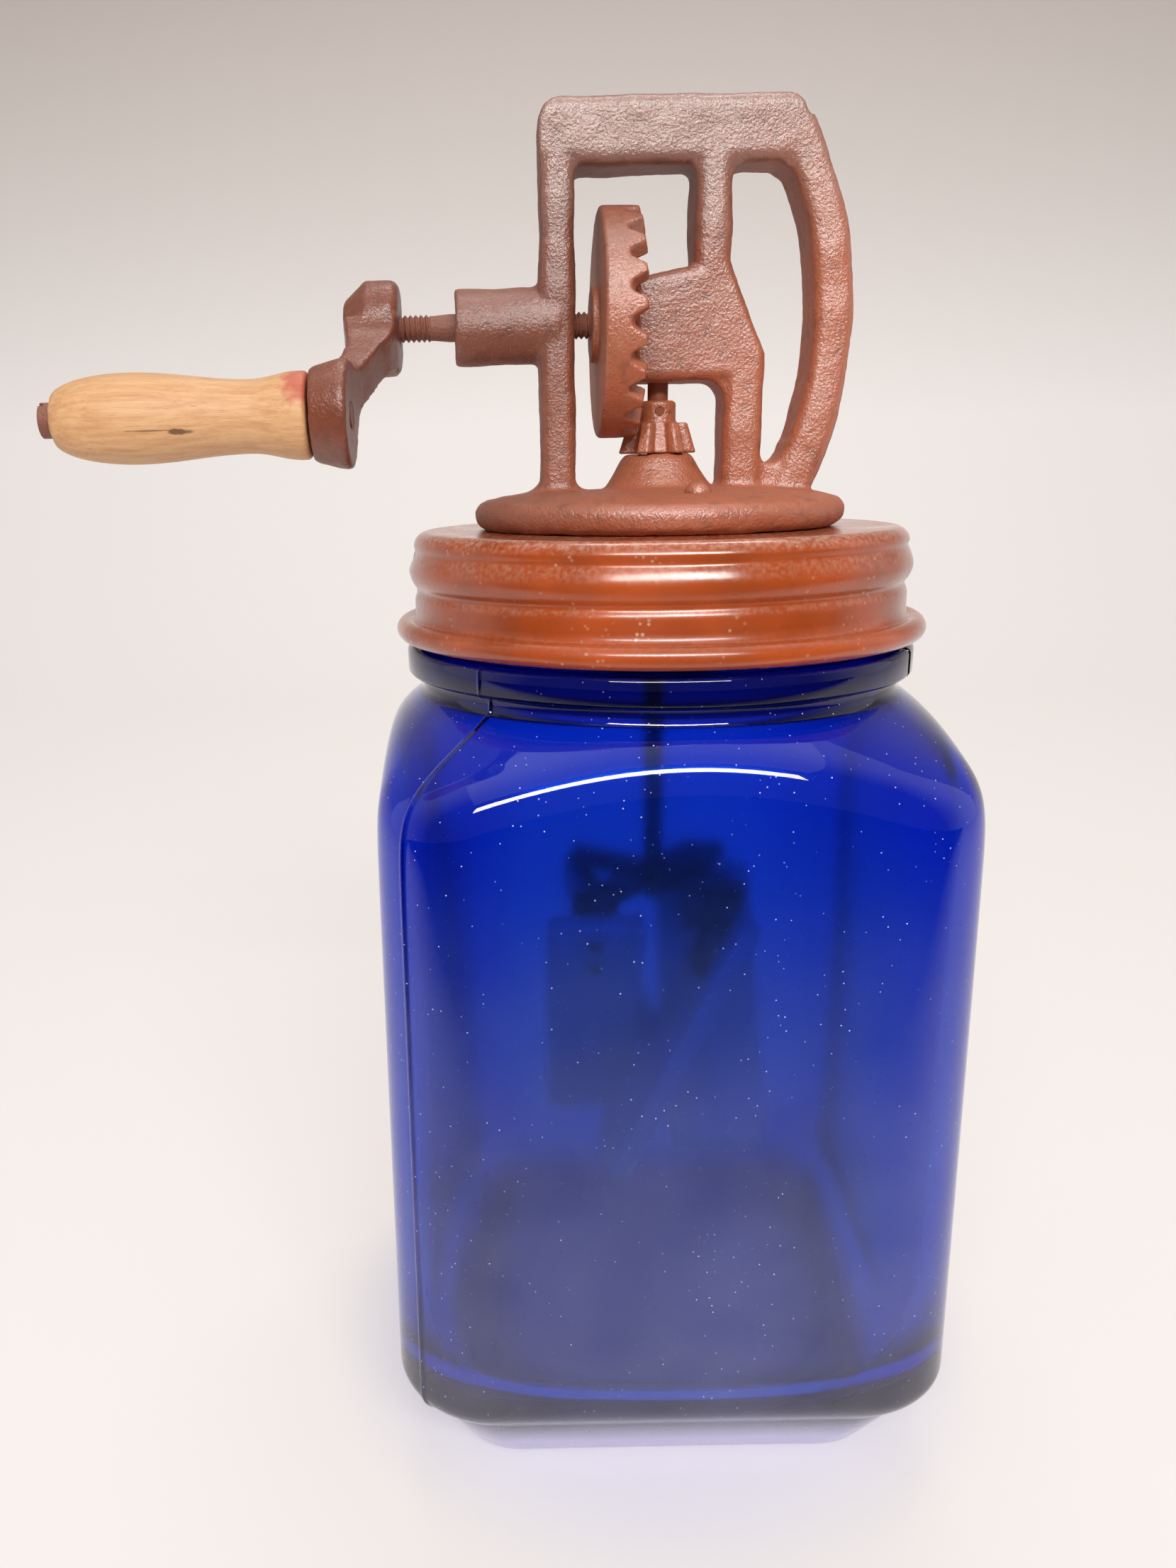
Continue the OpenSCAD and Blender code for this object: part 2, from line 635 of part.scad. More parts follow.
// Round end of the crank arm, chamfered towards both faces
module arm_disc(r, h, face) {
    rotate([0, -90, 0]) {
        cylinder(r1 = r * 0.88, r2 = r, h = h * 0.1);
        translate([0, 0, h * 0.1]) cylinder(r = r, h = h * 0.5);
        translate([0, 0, h * 0.6]) cylinder(r1 = r, r2 = r * face, h = h * 0.4);
    }
}

module crank_arm() {
    through = arm_foot_out + 2;
    color(IRON_PAINT) translate([arm_in_x, 0, axis_z]) rotate([crank_angle, 0, 0]) difference() {
        intersection() {
            translate([0, 0, -arm_foot * 1.2]) rotate([0, 0, -90]) mirror([0, 1, 0])
                linear_extrude(arm_foot * 2.4) arm_side();
            union() {
                arm_disc(arm_end, arm_hub_width, 0.55);
                translate([0, -crank_throw, 0]) arm_disc(arm_foot, arm_foot_out, 0.84);
                rotate([0, -90, 0]) translate([0, 0, -1]) linear_extrude(through)
                    rotate(-90) arm_neck_plan();
            }
        }
        rotate([0, -90, 0]) translate([0, 0, -1])
            cylinder(r = crank_diameter / 2 + fixed_fit, h = through);
        translate([0, -crank_throw, 0]) rotate([0, -90, 0]) translate([0, 0, -1])
            cylinder(r = grip_screw_diameter / 2 + fixed_fit, h = through);
    }
}

// Places its children on the grip's axis, with +Z pointing out along the grip
module on_grip_axis() {
    translate([0, 0, axis_z]) rotate([crank_angle, 0, 0]) translate([0, -crank_throw, 0])
        rotate([0, -90, 0]) children();
}

module grip_screw() {
    r = grip_screw_diameter / 2;
    head_r = r * 1.5;
    seat = -grip_out_x + end_play;
    color(IRON_PAINT) on_grip_axis() difference() {
        union() {
            translate([0, 0, arm_step - arm_in_x])
                cylinder(r = r, h = seat + arm_in_x - arm_step + 1);
            translate([0, 0, seat]) cylinder(r = head_r, h = grip_head);
        }
        translate([-head_r - 1, -0.5, seat + grip_head * 0.55]) cube([2 * head_r + 2, 1, grip_head]);
    }
}

// Turned grip: a flared foot, a neck, a swelling and a domed end
module crank_grip() {
    l = grip_length;
    foot = grip_diameter * 0.48;
    swell = grip_diameter / 2;
    neck = grip_neck / 2;
    bore = grip_screw_diameter / 2 + grip_fit;
    end = bore + 1.8;
    steps = 8;
    flare = [for (i = [0:steps]) let (t = i / steps)
        [neck + (foot - neck) * (0.5 + 0.5 * cos(180 * t)), l * (0.03 + 0.2 * t)]];
    belly = [for (i = [1:steps]) let (t = i / steps)
        [neck + (swell - neck) * (0.5 - 0.5 * cos(180 * t)), l * (0.23 + 0.45 * t)]];
    dome = [for (i = [1:steps]) let (t = i / steps)
        [end + (swell - end) * sqrt(1 - t * t), l * (0.68 + 0.32 * t)]];
    color(GRIP_WOOD) on_grip_axis() translate([0, 0, -grip_in_x]) rotate_extrude()
        polygon(concat([[bore, 0], [foot - 0.6, 0]], flare, belly, dome, [[bore, l]]));
}

// Angle from a tooth's middle to its involute flank at a radius
function involute(c) = tan(acos(c)) - acos(c) * PI / 180;
function flank_at(r) =
    let (base = mid_pitch * cos(flank_angle), c = min(1, base / r))
    (pinion_tooth_half / mid_pitch + involute(cos(flank_angle)) - involute(c)) * 180 / PI;

// One pinion tooth pointing at the drive gear, drawn at the mid radius and scaled from the apex
module pinion_tooth() {
    base = mid_pitch * cos(flank_angle);
    radii = [pinion_root * 0.8, base, mid_pitch, pinion_tip];
    side = [for (r = radii) [-r * cos(flank_at(r)), r * sin(flank_at(r))]];
    section = concat(side, [for (i = [len(side) - 1:-1:0]) [side[i][0], -side[i][1]]]);
    ends = [pinion_foot / mid_radius, pinion_top / mid_radius];
    ring_shell([for (s = ends) [for (p = section) [s * p[0], s * p[1], -s * mid_radius]]]);
}

module pinion() {
    top_root = pinion_root * pinion_top / mid_radius;
    foot_root = pinion_root * pinion_foot / mid_radius;
    hub_top = pinion_hub - pinion_top;
    pin_z = pinion_hub / 2 - pinion_top;
    color(IRON_PAINT) translate([0, 0, axis_z]) difference() {
        union() {
            rotate_extrude() polygon([
                [0, -pinion_foot], [foot_root, -pinion_foot], [top_root, -pinion_top],
                [pinion_hub_radius, -pinion_top + 0.4], [pinion_hub_radius, hub_top - 0.6],
                [pinion_hub_radius - 0.6, hub_top], [0, hub_top]]);
            for (i = [0:pinion_teeth - 1]) rotate([0, 0, 360 * i / pinion_teeth]) pinion_tooth();
        }
        translate([0, 0, -pinion_foot - 1])
            cylinder(r = dasher_diameter / 2 + fixed_fit, h = pinion_foot + hub_top + 2);
        translate([0, 0, pin_z]) rotate([90, 0, 0])
            cylinder(r = 1 + fixed_fit, h = 4 * pinion_hub_radius, center = true);
    }
}

module pinion_pin() {
    color(STEEL) translate([0, 0, axis_z + pinion_hub / 2 - pinion_top]) rotate([90, 0, 0])
        cylinder(r = 1, h = 2 * pinion_hub_radius - 0.4, center = true);
}

module dasher_shaft() {
    r = dasher_diameter / 2;
    end = spider_z - spider_nut_height - 2;
    pin_z = axis_z + pinion_hub / 2 - pinion_top;
    shoulder_z = spider_z + spider_sheet;
    color(STEEL) difference() {
        union() {
            translate([0, 0, shoulder_z]) cylinder(r = r, h = dasher_top - shoulder_z);
            translate([0, 0, end]) cylinder(r = shaft_end_radius, h = shoulder_z - end + 1);
        }
        translate([0, 0, pin_z]) rotate([90, 0, 0])
            cylinder(r = 1 + fixed_fit, h = 4 * r, center = true);
    }
}

// Places its children in a paddle's own frame: X through its thickness, Z along its length
module on_paddle(i) {
    rotate([0, 0, 90 * i]) translate([paddle_lead, -paddle_reach, paddle_height])
        rotate(blade_tilt) children();
}

// Rivet holes through a paddle and its tab
module rivet_holes() {
    for (z = rivet_rows) translate([0, 0, z]) rotate([0, 90, 0])
        cylinder(r = rivet_diameter / 2 + fixed_fit, h = paddle_width * 1.5, center = true);
}

module dasher_spider() {
    reach = norm(arm_tip);
    azimuth = atan2(arm_tip[1], arm_tip[0]);
    color(STEEL) difference() {
        union() {
            translate([0, 0, spider_z]) cylinder(r = spider_hub, h = spider_sheet);
            for (i = [0:3]) {
                rotate([0, 0, 90 * i + azimuth]) translate([0, -spider_arm_width / 2, spider_z])
                    cube([reach, spider_arm_width, spider_sheet]);
                on_paddle(i) translate([tab_x - spider_sheet / 2, -tab_width / 2, tab_foot])
                    cube([spider_sheet, tab_width, tab_top - tab_foot]);
            }
        }
        translate([0, 0, spider_z - 1])
            cylinder(r = shaft_end_radius + fixed_fit, h = spider_sheet + 2);
        for (i = [0:3]) on_paddle(i) rivet_holes();
    }
}

module spider_nut() {
    color(STEEL) translate([0, 0, spider_z - spider_nut_height]) difference() {
        cylinder(r = shaft_end_radius * 2.4, h = spider_nut_height, $fn = 6);
        translate([0, 0, -1])
            cylinder(r = shaft_end_radius + fixed_fit, h = spider_nut_height + 2);
    }
}

module paddle(i) {
    color(PADDLE_WOOD) on_paddle(i) difference() {
        translate([-paddle_thickness / 2, 0, 0]) rotate([90, 0, 90])
            linear_extrude(paddle_thickness) polygon(round_rect(paddle_width, paddle_length, 3));
        rivet_holes();
    }
}

module paddle_rivets() {
    r = rivet_diameter / 2;
    back = tab_x - spider_sheet / 2;
    front = paddle_thickness / 2;
    color(STEEL) for (i = [0:3]) on_paddle(i) for (z = rivet_rows)
        translate([0, 0, z]) rotate([0, 90, 0]) rotate_extrude() polygon([
            [0, back - rivet_head], [r * 1.3, back - rivet_head], [r * 1.9, back], [r, back],
            [r, front], [r * 1.9, front], [r * 1.3, front + rivet_head], [0, front + rivet_head]]);
}

glass_jar();
lid_gasket();
screw_lid();
gear_frame();
frame_screws();
frame_nuts();
crankshaft();
drive_gear();
crank_arm();
grip_screw();
crank_grip();
pinion();
pinion_pin();
dasher_shaft();
dasher_spider();
spider_nut();
paddle(0);  // paddle_1
paddle(1);  // paddle_2
paddle(2);  // paddle_3
paddle(3);  // paddle_4
paddle_rivets();
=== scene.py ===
"""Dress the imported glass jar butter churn: cobalt glass, enamelled lid, painted iron, wood and steel."""
import logging
import math
from dataclasses import dataclass, field
from enum import Enum

import bmesh
import bpy
import numpy as np
from mathutils import Matrix, Vector


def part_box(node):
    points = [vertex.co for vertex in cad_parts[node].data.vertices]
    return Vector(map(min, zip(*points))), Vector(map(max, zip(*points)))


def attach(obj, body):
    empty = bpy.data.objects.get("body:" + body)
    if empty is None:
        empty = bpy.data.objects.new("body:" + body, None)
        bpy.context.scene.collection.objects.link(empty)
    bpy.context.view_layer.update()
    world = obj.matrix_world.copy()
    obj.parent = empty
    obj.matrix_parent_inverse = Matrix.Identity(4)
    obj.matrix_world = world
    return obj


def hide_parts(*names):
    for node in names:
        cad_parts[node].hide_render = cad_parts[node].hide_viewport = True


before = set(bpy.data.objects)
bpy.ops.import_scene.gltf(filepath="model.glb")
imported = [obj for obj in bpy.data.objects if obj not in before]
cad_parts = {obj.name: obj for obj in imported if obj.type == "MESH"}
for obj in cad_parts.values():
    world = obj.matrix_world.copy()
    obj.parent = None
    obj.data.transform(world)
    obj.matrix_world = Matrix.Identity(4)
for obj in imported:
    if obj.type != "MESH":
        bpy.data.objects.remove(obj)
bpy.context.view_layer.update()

LOG = logging.getLogger("churn")
MM = 0.001
TURN = 2 * np.pi

Array = np.ndarray
Span = tuple[float, float]
Triple = tuple[float, float, float]
Piece = bpy.types.Object
Material = bpy.types.Material
Tree = bpy.types.NodeTree
Socket = bpy.types.NodeSocket


class Body(Enum):
    """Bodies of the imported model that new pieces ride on."""

    JAR = "jar"
    LID = "lid"
    CRANK = "crank"
    GRIP = "grip"
    DASHER = "dasher"


class Slot(Enum):
    """Names of material slots."""

    GLASS = "blue_glass"
    SEAL = "seal_rubber"
    LID = "lid_paint"
    IRON = "iron_paint"
    STEEL = "dark_steel"
    GRIP = "grip_wood"
    PADDLE = "paddle_wood"


# Shape helpers

def loft(name: str, rings: Array, cap_start: bool = False, cap_end: bool = False,
         wrap: bool = False) -> Piece:
    """Make a closed skin through rings of points, each ring counter-clockwise about the way they run.

    Args:
        name: Object name.
        rings: Array of shape (rows, points, 3) in millimetres.
        cap_start: Close the first ring with a fan to its middle.
        cap_end: Close the last ring with a fan to its middle.
        wrap: Join the last ring to the first.

    Returns:
        The linked mesh object, with its place in its mesh.
    """
    rows, count = rings.shape[:2]
    ids = np.arange(rows * count).reshape(rows, count)
    low = ids if wrap else ids[:-1]
    high = np.roll(ids, -1, axis=0) if wrap else ids[1:]
    quads = np.stack([low, np.roll(low, -1, 1), np.roll(high, -1, 1), high], -1).reshape(-1, 4)
    verts = rings.reshape(-1, 3)
    faces = quads.tolist()
    for wanted, ring, way in ((cap_start, 0, -1), (cap_end, rows - 1, 1)):
        if wanted:
            verts = np.vstack([verts, rings[ring].mean(0)])
            pole = np.full(count, len(verts) - 1)
            edge = np.stack([pole, ids[ring], np.roll(ids[ring], -1)], -1)[:, ::way]
            faces += edge.tolist()
    mesh = bpy.data.meshes.new(name)
    mesh.from_pydata((verts * MM).tolist(), [], faces)
    mesh.shade_smooth()
    piece = bpy.data.objects.new(name, mesh)
    bpy.context.scene.collection.objects.link(piece)
    return piece


def wind(a: Array, bands: list[tuple[Array, Array]]) -> Array:
    """Rings round +Z from bands of radii and heights.

    Args:
        a: Directions in radians, shape (1, points).
        bands: Radii and heights of each band, of shape (rows, points) or (rows, 1).

    Returns:
        Rings of shape (all rows, points, 3).
    """
    radii, heights = (
        np.vstack([np.broadcast_to(band[k], (len(band[k]), a.shape[1])) for band in bands]) for k in (0, 1))
    return np.stack([radii * np.cos(a), radii * np.sin(a), heights], -1)


def arc(x: float, y: float, r: float, start: float, end: float, steps: int = 8) -> Array:
    """Points of a circle round (x, y) from one angle to another in degrees, shape (steps + 1, 2)."""
    a = np.radians(np.linspace(start, end, steps + 1))
    return np.stack([x + r * np.cos(a), y + r * np.sin(a)], -1)


def away(a: Array, degrees: float) -> Array:
    """Signed angle in radians from a direction given in degrees."""
    return np.mod(a - math.radians(degrees) + np.pi, TURN) - np.pi


def turned(rings: Array, axis: str, degrees: float) -> Array:
    """Turn points, whose last axis is x, y, z, about a row axis by the right-hand rule."""
    return rings @ np.array(Matrix.Rotation(math.radians(degrees), 3, axis)).T


def smooth_step(x: Array, low: float, high: float) -> Array:
    """Cubic rise from 0 at low to 1 at high."""
    t = np.clip((x - low) / (high - low), 0, 1)
    return t * t * (3 - 2 * t)


def mark(mesh: bpy.types.Mesh, name: str, values: Array) -> None:
    """Keep one number per point under a name that finishes can read."""
    mesh.attributes.new(name, "FLOAT", "POINT").data.foreach_set("value", values.astype(np.float32))


# Noise: primes that hash a cell's corner, and the 32-bit range of the hash

CELL_PRIMES = np.array([374761393, 668265263, 1440662683])
SEED_PRIME = 974634777
MIX_PRIME = 1274126177
WORD = 0xFFFFFFFF


def lattice_noise(points: Array, size: float, seed: int) -> Array:
    """Smooth noise from hashed lattice values, blended between the eight corners of each cell.

    Args:
        points: Array of shape (n, 3).
        size: Cell width, in the points' unit.
        seed: Changes the pattern.

    Returns:
        Values from -1 to 1, shape (n,).
    """
    scaled = points / size
    base = np.floor(scaled).astype(np.int64)
    t = scaled - base
    t = t * t * (3 - 2 * t)
    total = np.zeros(len(points))
    for corner in range(8):
        step = np.array([corner & 1, corner >> 1 & 1, corner >> 2 & 1])
        mixed = ((base + step) @ CELL_PRIMES + seed * SEED_PRIME) & WORD
        mixed = ((mixed ^ mixed >> 13) * MIX_PRIME) & WORD
        value = (mixed ^ mixed >> 16) / (WORD >> 1) - 1
        total += np.where(step, t, 1 - t).prod(1) * value
    return total


def layered(points: Array, layers: tuple[tuple[float, float, int], ...]) -> Array:
    """Sum of noises, each given as its share, cell width and seed."""
    return sum(share * lattice_noise(points, size, seed) for share, size, seed in layers)


# Castings: noise layers in millimetres, and how far a face must look along Y to be rubbed

SAND = ((0.45, 2.1, 3), (0.55, 1.2, 5))
UNEVEN = ((0.62, 15, 7), (0.38, 6.5, 9))
RUBBED = (0.45, 0.85)
WELD = 2e-6


def cast_copy(node: str, voxel: float, passes: int, grain: float, swell: float) -> Piece:
    """Copy a CAD node as a casting: remeshed, softened, then roughened along its normals by noise.

    The sand texture is kept in the attribute "grain", so that paint can pool in the pits. Faces that look
    along Y, the broad ones that hands and cloths reach, are marked in "rubbed".

    Args:
        node: CAD node to copy.
        voxel: Remesh size in millimetres.
        passes: Smoothing passes, which round the edges.
        grain: Height of the sand texture in millimetres.
        swell: Height of the broad unevenness in millimetres.

    Returns:
        The linked object that stands for the node.
    """
    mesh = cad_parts[node].data.copy()
    work_mesh = bmesh.new()
    work_mesh.from_mesh(mesh)
    bmesh.ops.remove_doubles(work_mesh, verts=work_mesh.verts, dist=WELD)
    work_mesh.to_mesh(mesh)
    work_mesh.free()
    piece = bpy.data.objects.new(node + "_cast", mesh)
    bpy.context.scene.collection.objects.link(piece)
    remesh = piece.modifiers.new("remesh", "REMESH")
    remesh.mode = "VOXEL"
    remesh.voxel_size = voxel * MM
    soften = piece.modifiers.new("soften", "SMOOTH")
    soften.factor = 0.5
    soften.iterations = passes
    depsgraph = bpy.context.evaluated_depsgraph_get()
    made = bpy.data.meshes.new_from_object(piece.evaluated_get(depsgraph))
    piece.modifiers.clear()
    piece.data = made
    made.name = piece.name
    made.materials.clear()
    count = len(made.vertices)
    place, normal = np.empty(count * 3), np.empty(count * 3)
    made.vertices.foreach_get("co", place)
    made.vertex_normals.foreach_get("vector", normal)
    place, normal = place.reshape(-1, 3), normal.reshape(-1, 3)
    sand, broad = layered(place / MM, SAND), layered(place / MM, UNEVEN)
    place += normal * ((grain * sand + swell * broad) * MM)[:, None]
    made.vertices.foreach_set("co", place.ravel())
    mark(made, "grain", sand)
    mark(made, "rubbed", smooth_step(np.abs(normal[:, 1]), *RUBBED))
    made.shade_smooth()
    made.update()
    return piece


# Material helpers

def mm(*sizes: float) -> list[float]:
    """Millimetres as metres."""
    return [size * MM for size in sizes]


def linear(code: str) -> tuple[float, float, float, float]:
    """Turn an sRGB hex colour into linear RGBA."""
    parts = [int(code[i:i + 2], 16) / 255 for i in (1, 3, 5)]
    flat = [c / 12.92 if c <= 0.04045 else ((c + 0.055) / 1.055) ** 2.4 for c in parts]
    return (*flat, 1.0)


def add(tree: Tree, kind: str, inputs: dict | None = None, **settings) -> bpy.types.Node:
    """Add a node, set its properties, and fill or link its inputs.

    Args:
        tree: Node tree to add to.
        kind: Node type without its ShaderNode prefix.
        inputs: Input name or number to a value or an output socket.
        settings: Node properties.

    Returns:
        The new node.
    """
    node = tree.nodes.new("ShaderNode" + kind)
    for key, value in settings.items():
        setattr(node, key, value)
    for key, value in (inputs or {}).items():
        if isinstance(value, Socket):
            tree.links.new(value, node.inputs[key])
        else:
            node.inputs[key].default_value = value
    return node


def new_tree(name: str) -> tuple[Material, Tree, Socket]:
    """Make an empty node material, and give it, its tree and the place on the object in metres."""
    material = bpy.data.materials.new(name)
    material.use_nodes = True
    material.node_tree.nodes.clear()
    return material, material.node_tree, add(material.node_tree, "TexCoord").outputs["Object"]


def ramp(tree: Tree, value: Socket, low: float, high: float, start: float = 0.0, end: float = 1.0,
         **settings) -> Socket:
    """Map a value, clamped, so that it is start at low and end at high."""
    span = {"From Min": low, "From Max": high, "To Min": start, "To Max": end}
    return add(tree, "MapRange", {"Value": value, **span}, **settings).outputs["Result"]


def sums(tree: Tree, operation: str, *values: Socket | float, **settings) -> Socket:
    """Work out a sum, such as MULTIPLY or MAXIMUM, on numbers and sockets."""
    return add(tree, "Math", dict(enumerate(values)), operation=operation, **settings).outputs[0]


def blend(tree: Tree, factor: Socket, first: Socket | str, second: Socket | str) -> Socket:
    """Mix two colours, each a socket or a hex code."""
    ends = [linear(c) if isinstance(c, str) else c for c in (first, second)]
    return add(tree, "Mix", {"Factor": factor, 6: ends[0], 7: ends[1]}, data_type="RGBA").outputs[2]


def noise(tree: Tree, place: Socket, scale: float, detail: float, **more: float) -> Socket:
    """Noise from 0 to 1, with its scale in cells per metre of the given place."""
    return add(tree, "TexNoise", {"Vector": place, "Scale": scale, "Detail": detail, **more}).outputs["Fac"]


def specks(tree: Tree, place: Socket, scale: float, reach: Span, pick: str,
           rarity: float) -> Socket:
    """Round specks, one in some of the cells of a random pattern.

    Args:
        tree: Node tree to add to.
        place: Where on the object.
        scale: Cells per metre.
        reach: Radii, in cells, where a speck starts to fade and where it ends.
        pick: Colour channel of the cells that picks those with a speck.
        rarity: Share of the cells without a speck.

    Returns:
        1 on specks and 0 elsewhere.
    """
    cells = add(tree, "TexVoronoi", {"Vector": place, "Scale": scale})
    near = ramp(tree, cells.outputs["Distance"], *reach, 1.0, 0.0)
    level = add(tree, "SeparateColor", {"Color": cells.outputs["Color"]}).outputs[pick]
    return sums(tree, "MULTIPLY", near, sums(tree, "GREATER_THAN", level, rarity))


def bump(tree: Tree, height: Socket, strength: float, distance: float) -> Socket:
    """Normals tilted by a height pattern, its full height given in metres."""
    inputs = {"Height": height, "Strength": strength, "Distance": distance}
    return add(tree, "Bump", inputs).outputs[0]


def axes(tree: Tree, vector: Socket) -> dict[str, Socket]:
    """Split a vector into its X, Y and Z."""
    outputs = add(tree, "SeparateXYZ", {"Vector": vector}).outputs
    return {key: outputs[key] for key in "XYZ"}


def marked(tree: Tree, name: str) -> Socket:
    """Read a number that a mesh keeps under a name."""
    return add(tree, "Attribute", attribute_name=name).outputs["Fac"]


def shade(tree: Tree, inputs: dict, volume: Socket | None = None) -> None:
    """Close a material with a principled surface, and a volume where one is given."""
    surface = add(tree, "BsdfPrincipled", inputs).outputs[0]
    inside = {} if volume is None else {"Volume": volume}
    add(tree, "OutputMaterial", {"Surface": surface, **inside})


def ray_kinds(tree: Tree) -> tuple[Socket, Socket]:
    """Tell rays apart: those of the camera, glass and mirrors, and those of mirrors alone.

    Rays through glass count as glossy too, so they are taken off the mirrors' rays.

    Args:
        tree: Node tree to add to.

    Returns:
        Two sockets that are 1 for such rays and 0 for the others.
    """
    path = add(tree, "LightPath").outputs
    clear = sums(tree, "MAXIMUM", path["Is Camera Ray"], path["Is Transmission Ray"])
    seen = sums(tree, "MAXIMUM", clear, path["Is Glossy Ray"])
    mirror = sums(tree, "SUBTRACT", path["Is Glossy Ray"], path["Is Transmission Ray"], use_clamp=True)
    return seen, mirror


def dress(piece: Piece, material: Material) -> None:
    """Give a piece one material."""
    piece.data.materials.clear()
    piece.data.materials.append(material)


# Finishes

@dataclass(frozen=True)
class CobaltGlass:
    """Pressed soda-lime glass coloured with cobalt: clear surfaces, deep blue by depth, specks of dust.

    A dull residue thickens towards the foot, the foot itself is scuffed, painted shade darkens the glass
    under the lid, and the inside, marked by the attribute "inside", is dulled by use. Heights are in
    millimetres.
    """

    tint: str = "#6195F5"
    dust: str = "#CFCBE6"
    # painted shade: the dark colour the glass takes under the lid, where shade falls
    lid_shade_colour: str = "#1B1420"
    absorb: Triple = (0.03, 0.52, 0.92)
    depth_per_metre: float = 320.0
    residue_top: float = 172.0
    residue_bend: float = 120.0
    residue_foot: float = 20.0
    inside_rough: float = 0.2
    scuff_top: float = 18.0
    lid_shade_from: Span = (193.5, 196.0)
    speck_spacing: float = 2.0

    def build(self) -> Material:
        """Make the glass, whose colour comes from absorption in its thickness."""
        material, tree, place = new_tree("cobalt_glass_pressed")
        height = axes(tree, place)["Z"]
        haze = noise(tree, place, 45.0, 4.0)
        speck = specks(tree, place, 1000 / self.speck_spacing, (0.055, 0.11), "Red", 0.25)
        dusty = sums(tree, "MULTIPLY", speck, ramp(tree, haze, 0.38, 0.54))
        thin = ramp(tree, height, *mm(self.residue_bend, self.residue_top), 0.45, 0.0,
                    interpolation_type="SMOOTHSTEP")
        thick = ramp(tree, height, *mm(self.residue_foot, self.residue_bend), 0.47, 0.0)
        residue = sums(tree, "ADD", thin, thick)
        scuff = ramp(tree, height, *mm(0.3 * self.scuff_top, self.scuff_top), 1.0, 0.003)
        film = sums(tree, "MULTIPLY_ADD", residue, ramp(tree, haze, 0.3, 0.7, 0.09, 0.165), scuff)
        cover = sums(tree, "MAXIMUM", dusty, film)
        pale_blue = blend(tree, sums(tree, "MAXIMUM", dusty, residue), self.tint, self.dust)
        # painted shade under the lid, which rises above these heights
        painted_lid_shade = ramp(tree, height, *mm(*self.lid_shade_from), 0.0, 0.75)
        dulled = ramp(tree, marked(tree, "inside"), 0.0, 1.0, 0.02, self.inside_rough)
        body = add(tree, "VolumeAbsorption", {"Color": (*self.absorb, 1.0),
                                              "Density": self.depth_per_metre})
        shade(tree, {"Base Color": blend(tree, painted_lid_shade, pale_blue, self.lid_shade_colour),
                     "Roughness": sums(tree, "MULTIPLY_ADD", dusty, 0.5, dulled), "IOR": 1.52,
                     "Transmission Weight": ramp(tree, cover, 0.0, 1.0, 1.0, 0.05)}, body.outputs[0])
        return material


@dataclass(frozen=True)
class LidEnamel:
    """Glossy rust-orange enamel on pressed tinplate: brushed on, dusty in the rolls, dull in patches.

    Powder settles on faces that look up, and less on the bead, below the heights in millimetres.
    """

    bright: str = "#B04B16"
    deep: str = "#8A3A14"
    dust: str = "#C79F86"
    powder_from: Span = (210.5, 214.0)

    def build(self) -> Material:
        """Make the enamel with dust specks and a worn gloss."""
        material, tree, place = new_tree("orange_enamel_on_tinplate")
        paint = blend(tree, ramp(tree, noise(tree, place, 38.0, 5.0), 0.35, 0.68), self.bright, self.deep)
        where = noise(tree, place, 70.0, 3.0)
        speck = specks(tree, place, 620.0, (0.16, 0.3), "Green", 0.45)
        dusty = sums(tree, "MULTIPLY", speck, ramp(tree, where, 0.5, 0.68))
        facing = axes(tree, add(tree, "TexCoord").outputs["Normal"])["Z"]
        above = ramp(tree, axes(tree, place)["Z"], *mm(*self.powder_from), 0.2, 1.0)
        ledge = sums(tree, "MULTIPLY", ramp(tree, facing, 0.12, 0.8), above)
        powder = ramp(tree, noise(tree, place, 900.0, 2.0), 0.4, 0.7, 0.0, 0.6)
        dull = sums(tree, "MAXIMUM", dusty, sums(tree, "MULTIPLY", ledge, powder))
        peel = sums(tree, "ADD", dusty, noise(tree, place, 420.0, 2.0))
        shade(tree, {"Base Color": blend(tree, dull, paint, self.dust),
                     "Roughness": ramp(tree, where, 0.3, 0.75, 0.2, 0.45), "IOR": 1.5,
                     "Coat Weight": 0.7, "Coat Roughness": 0.18, "Normal": bump(tree, peel, 0.12, 0.0004)})
        return material


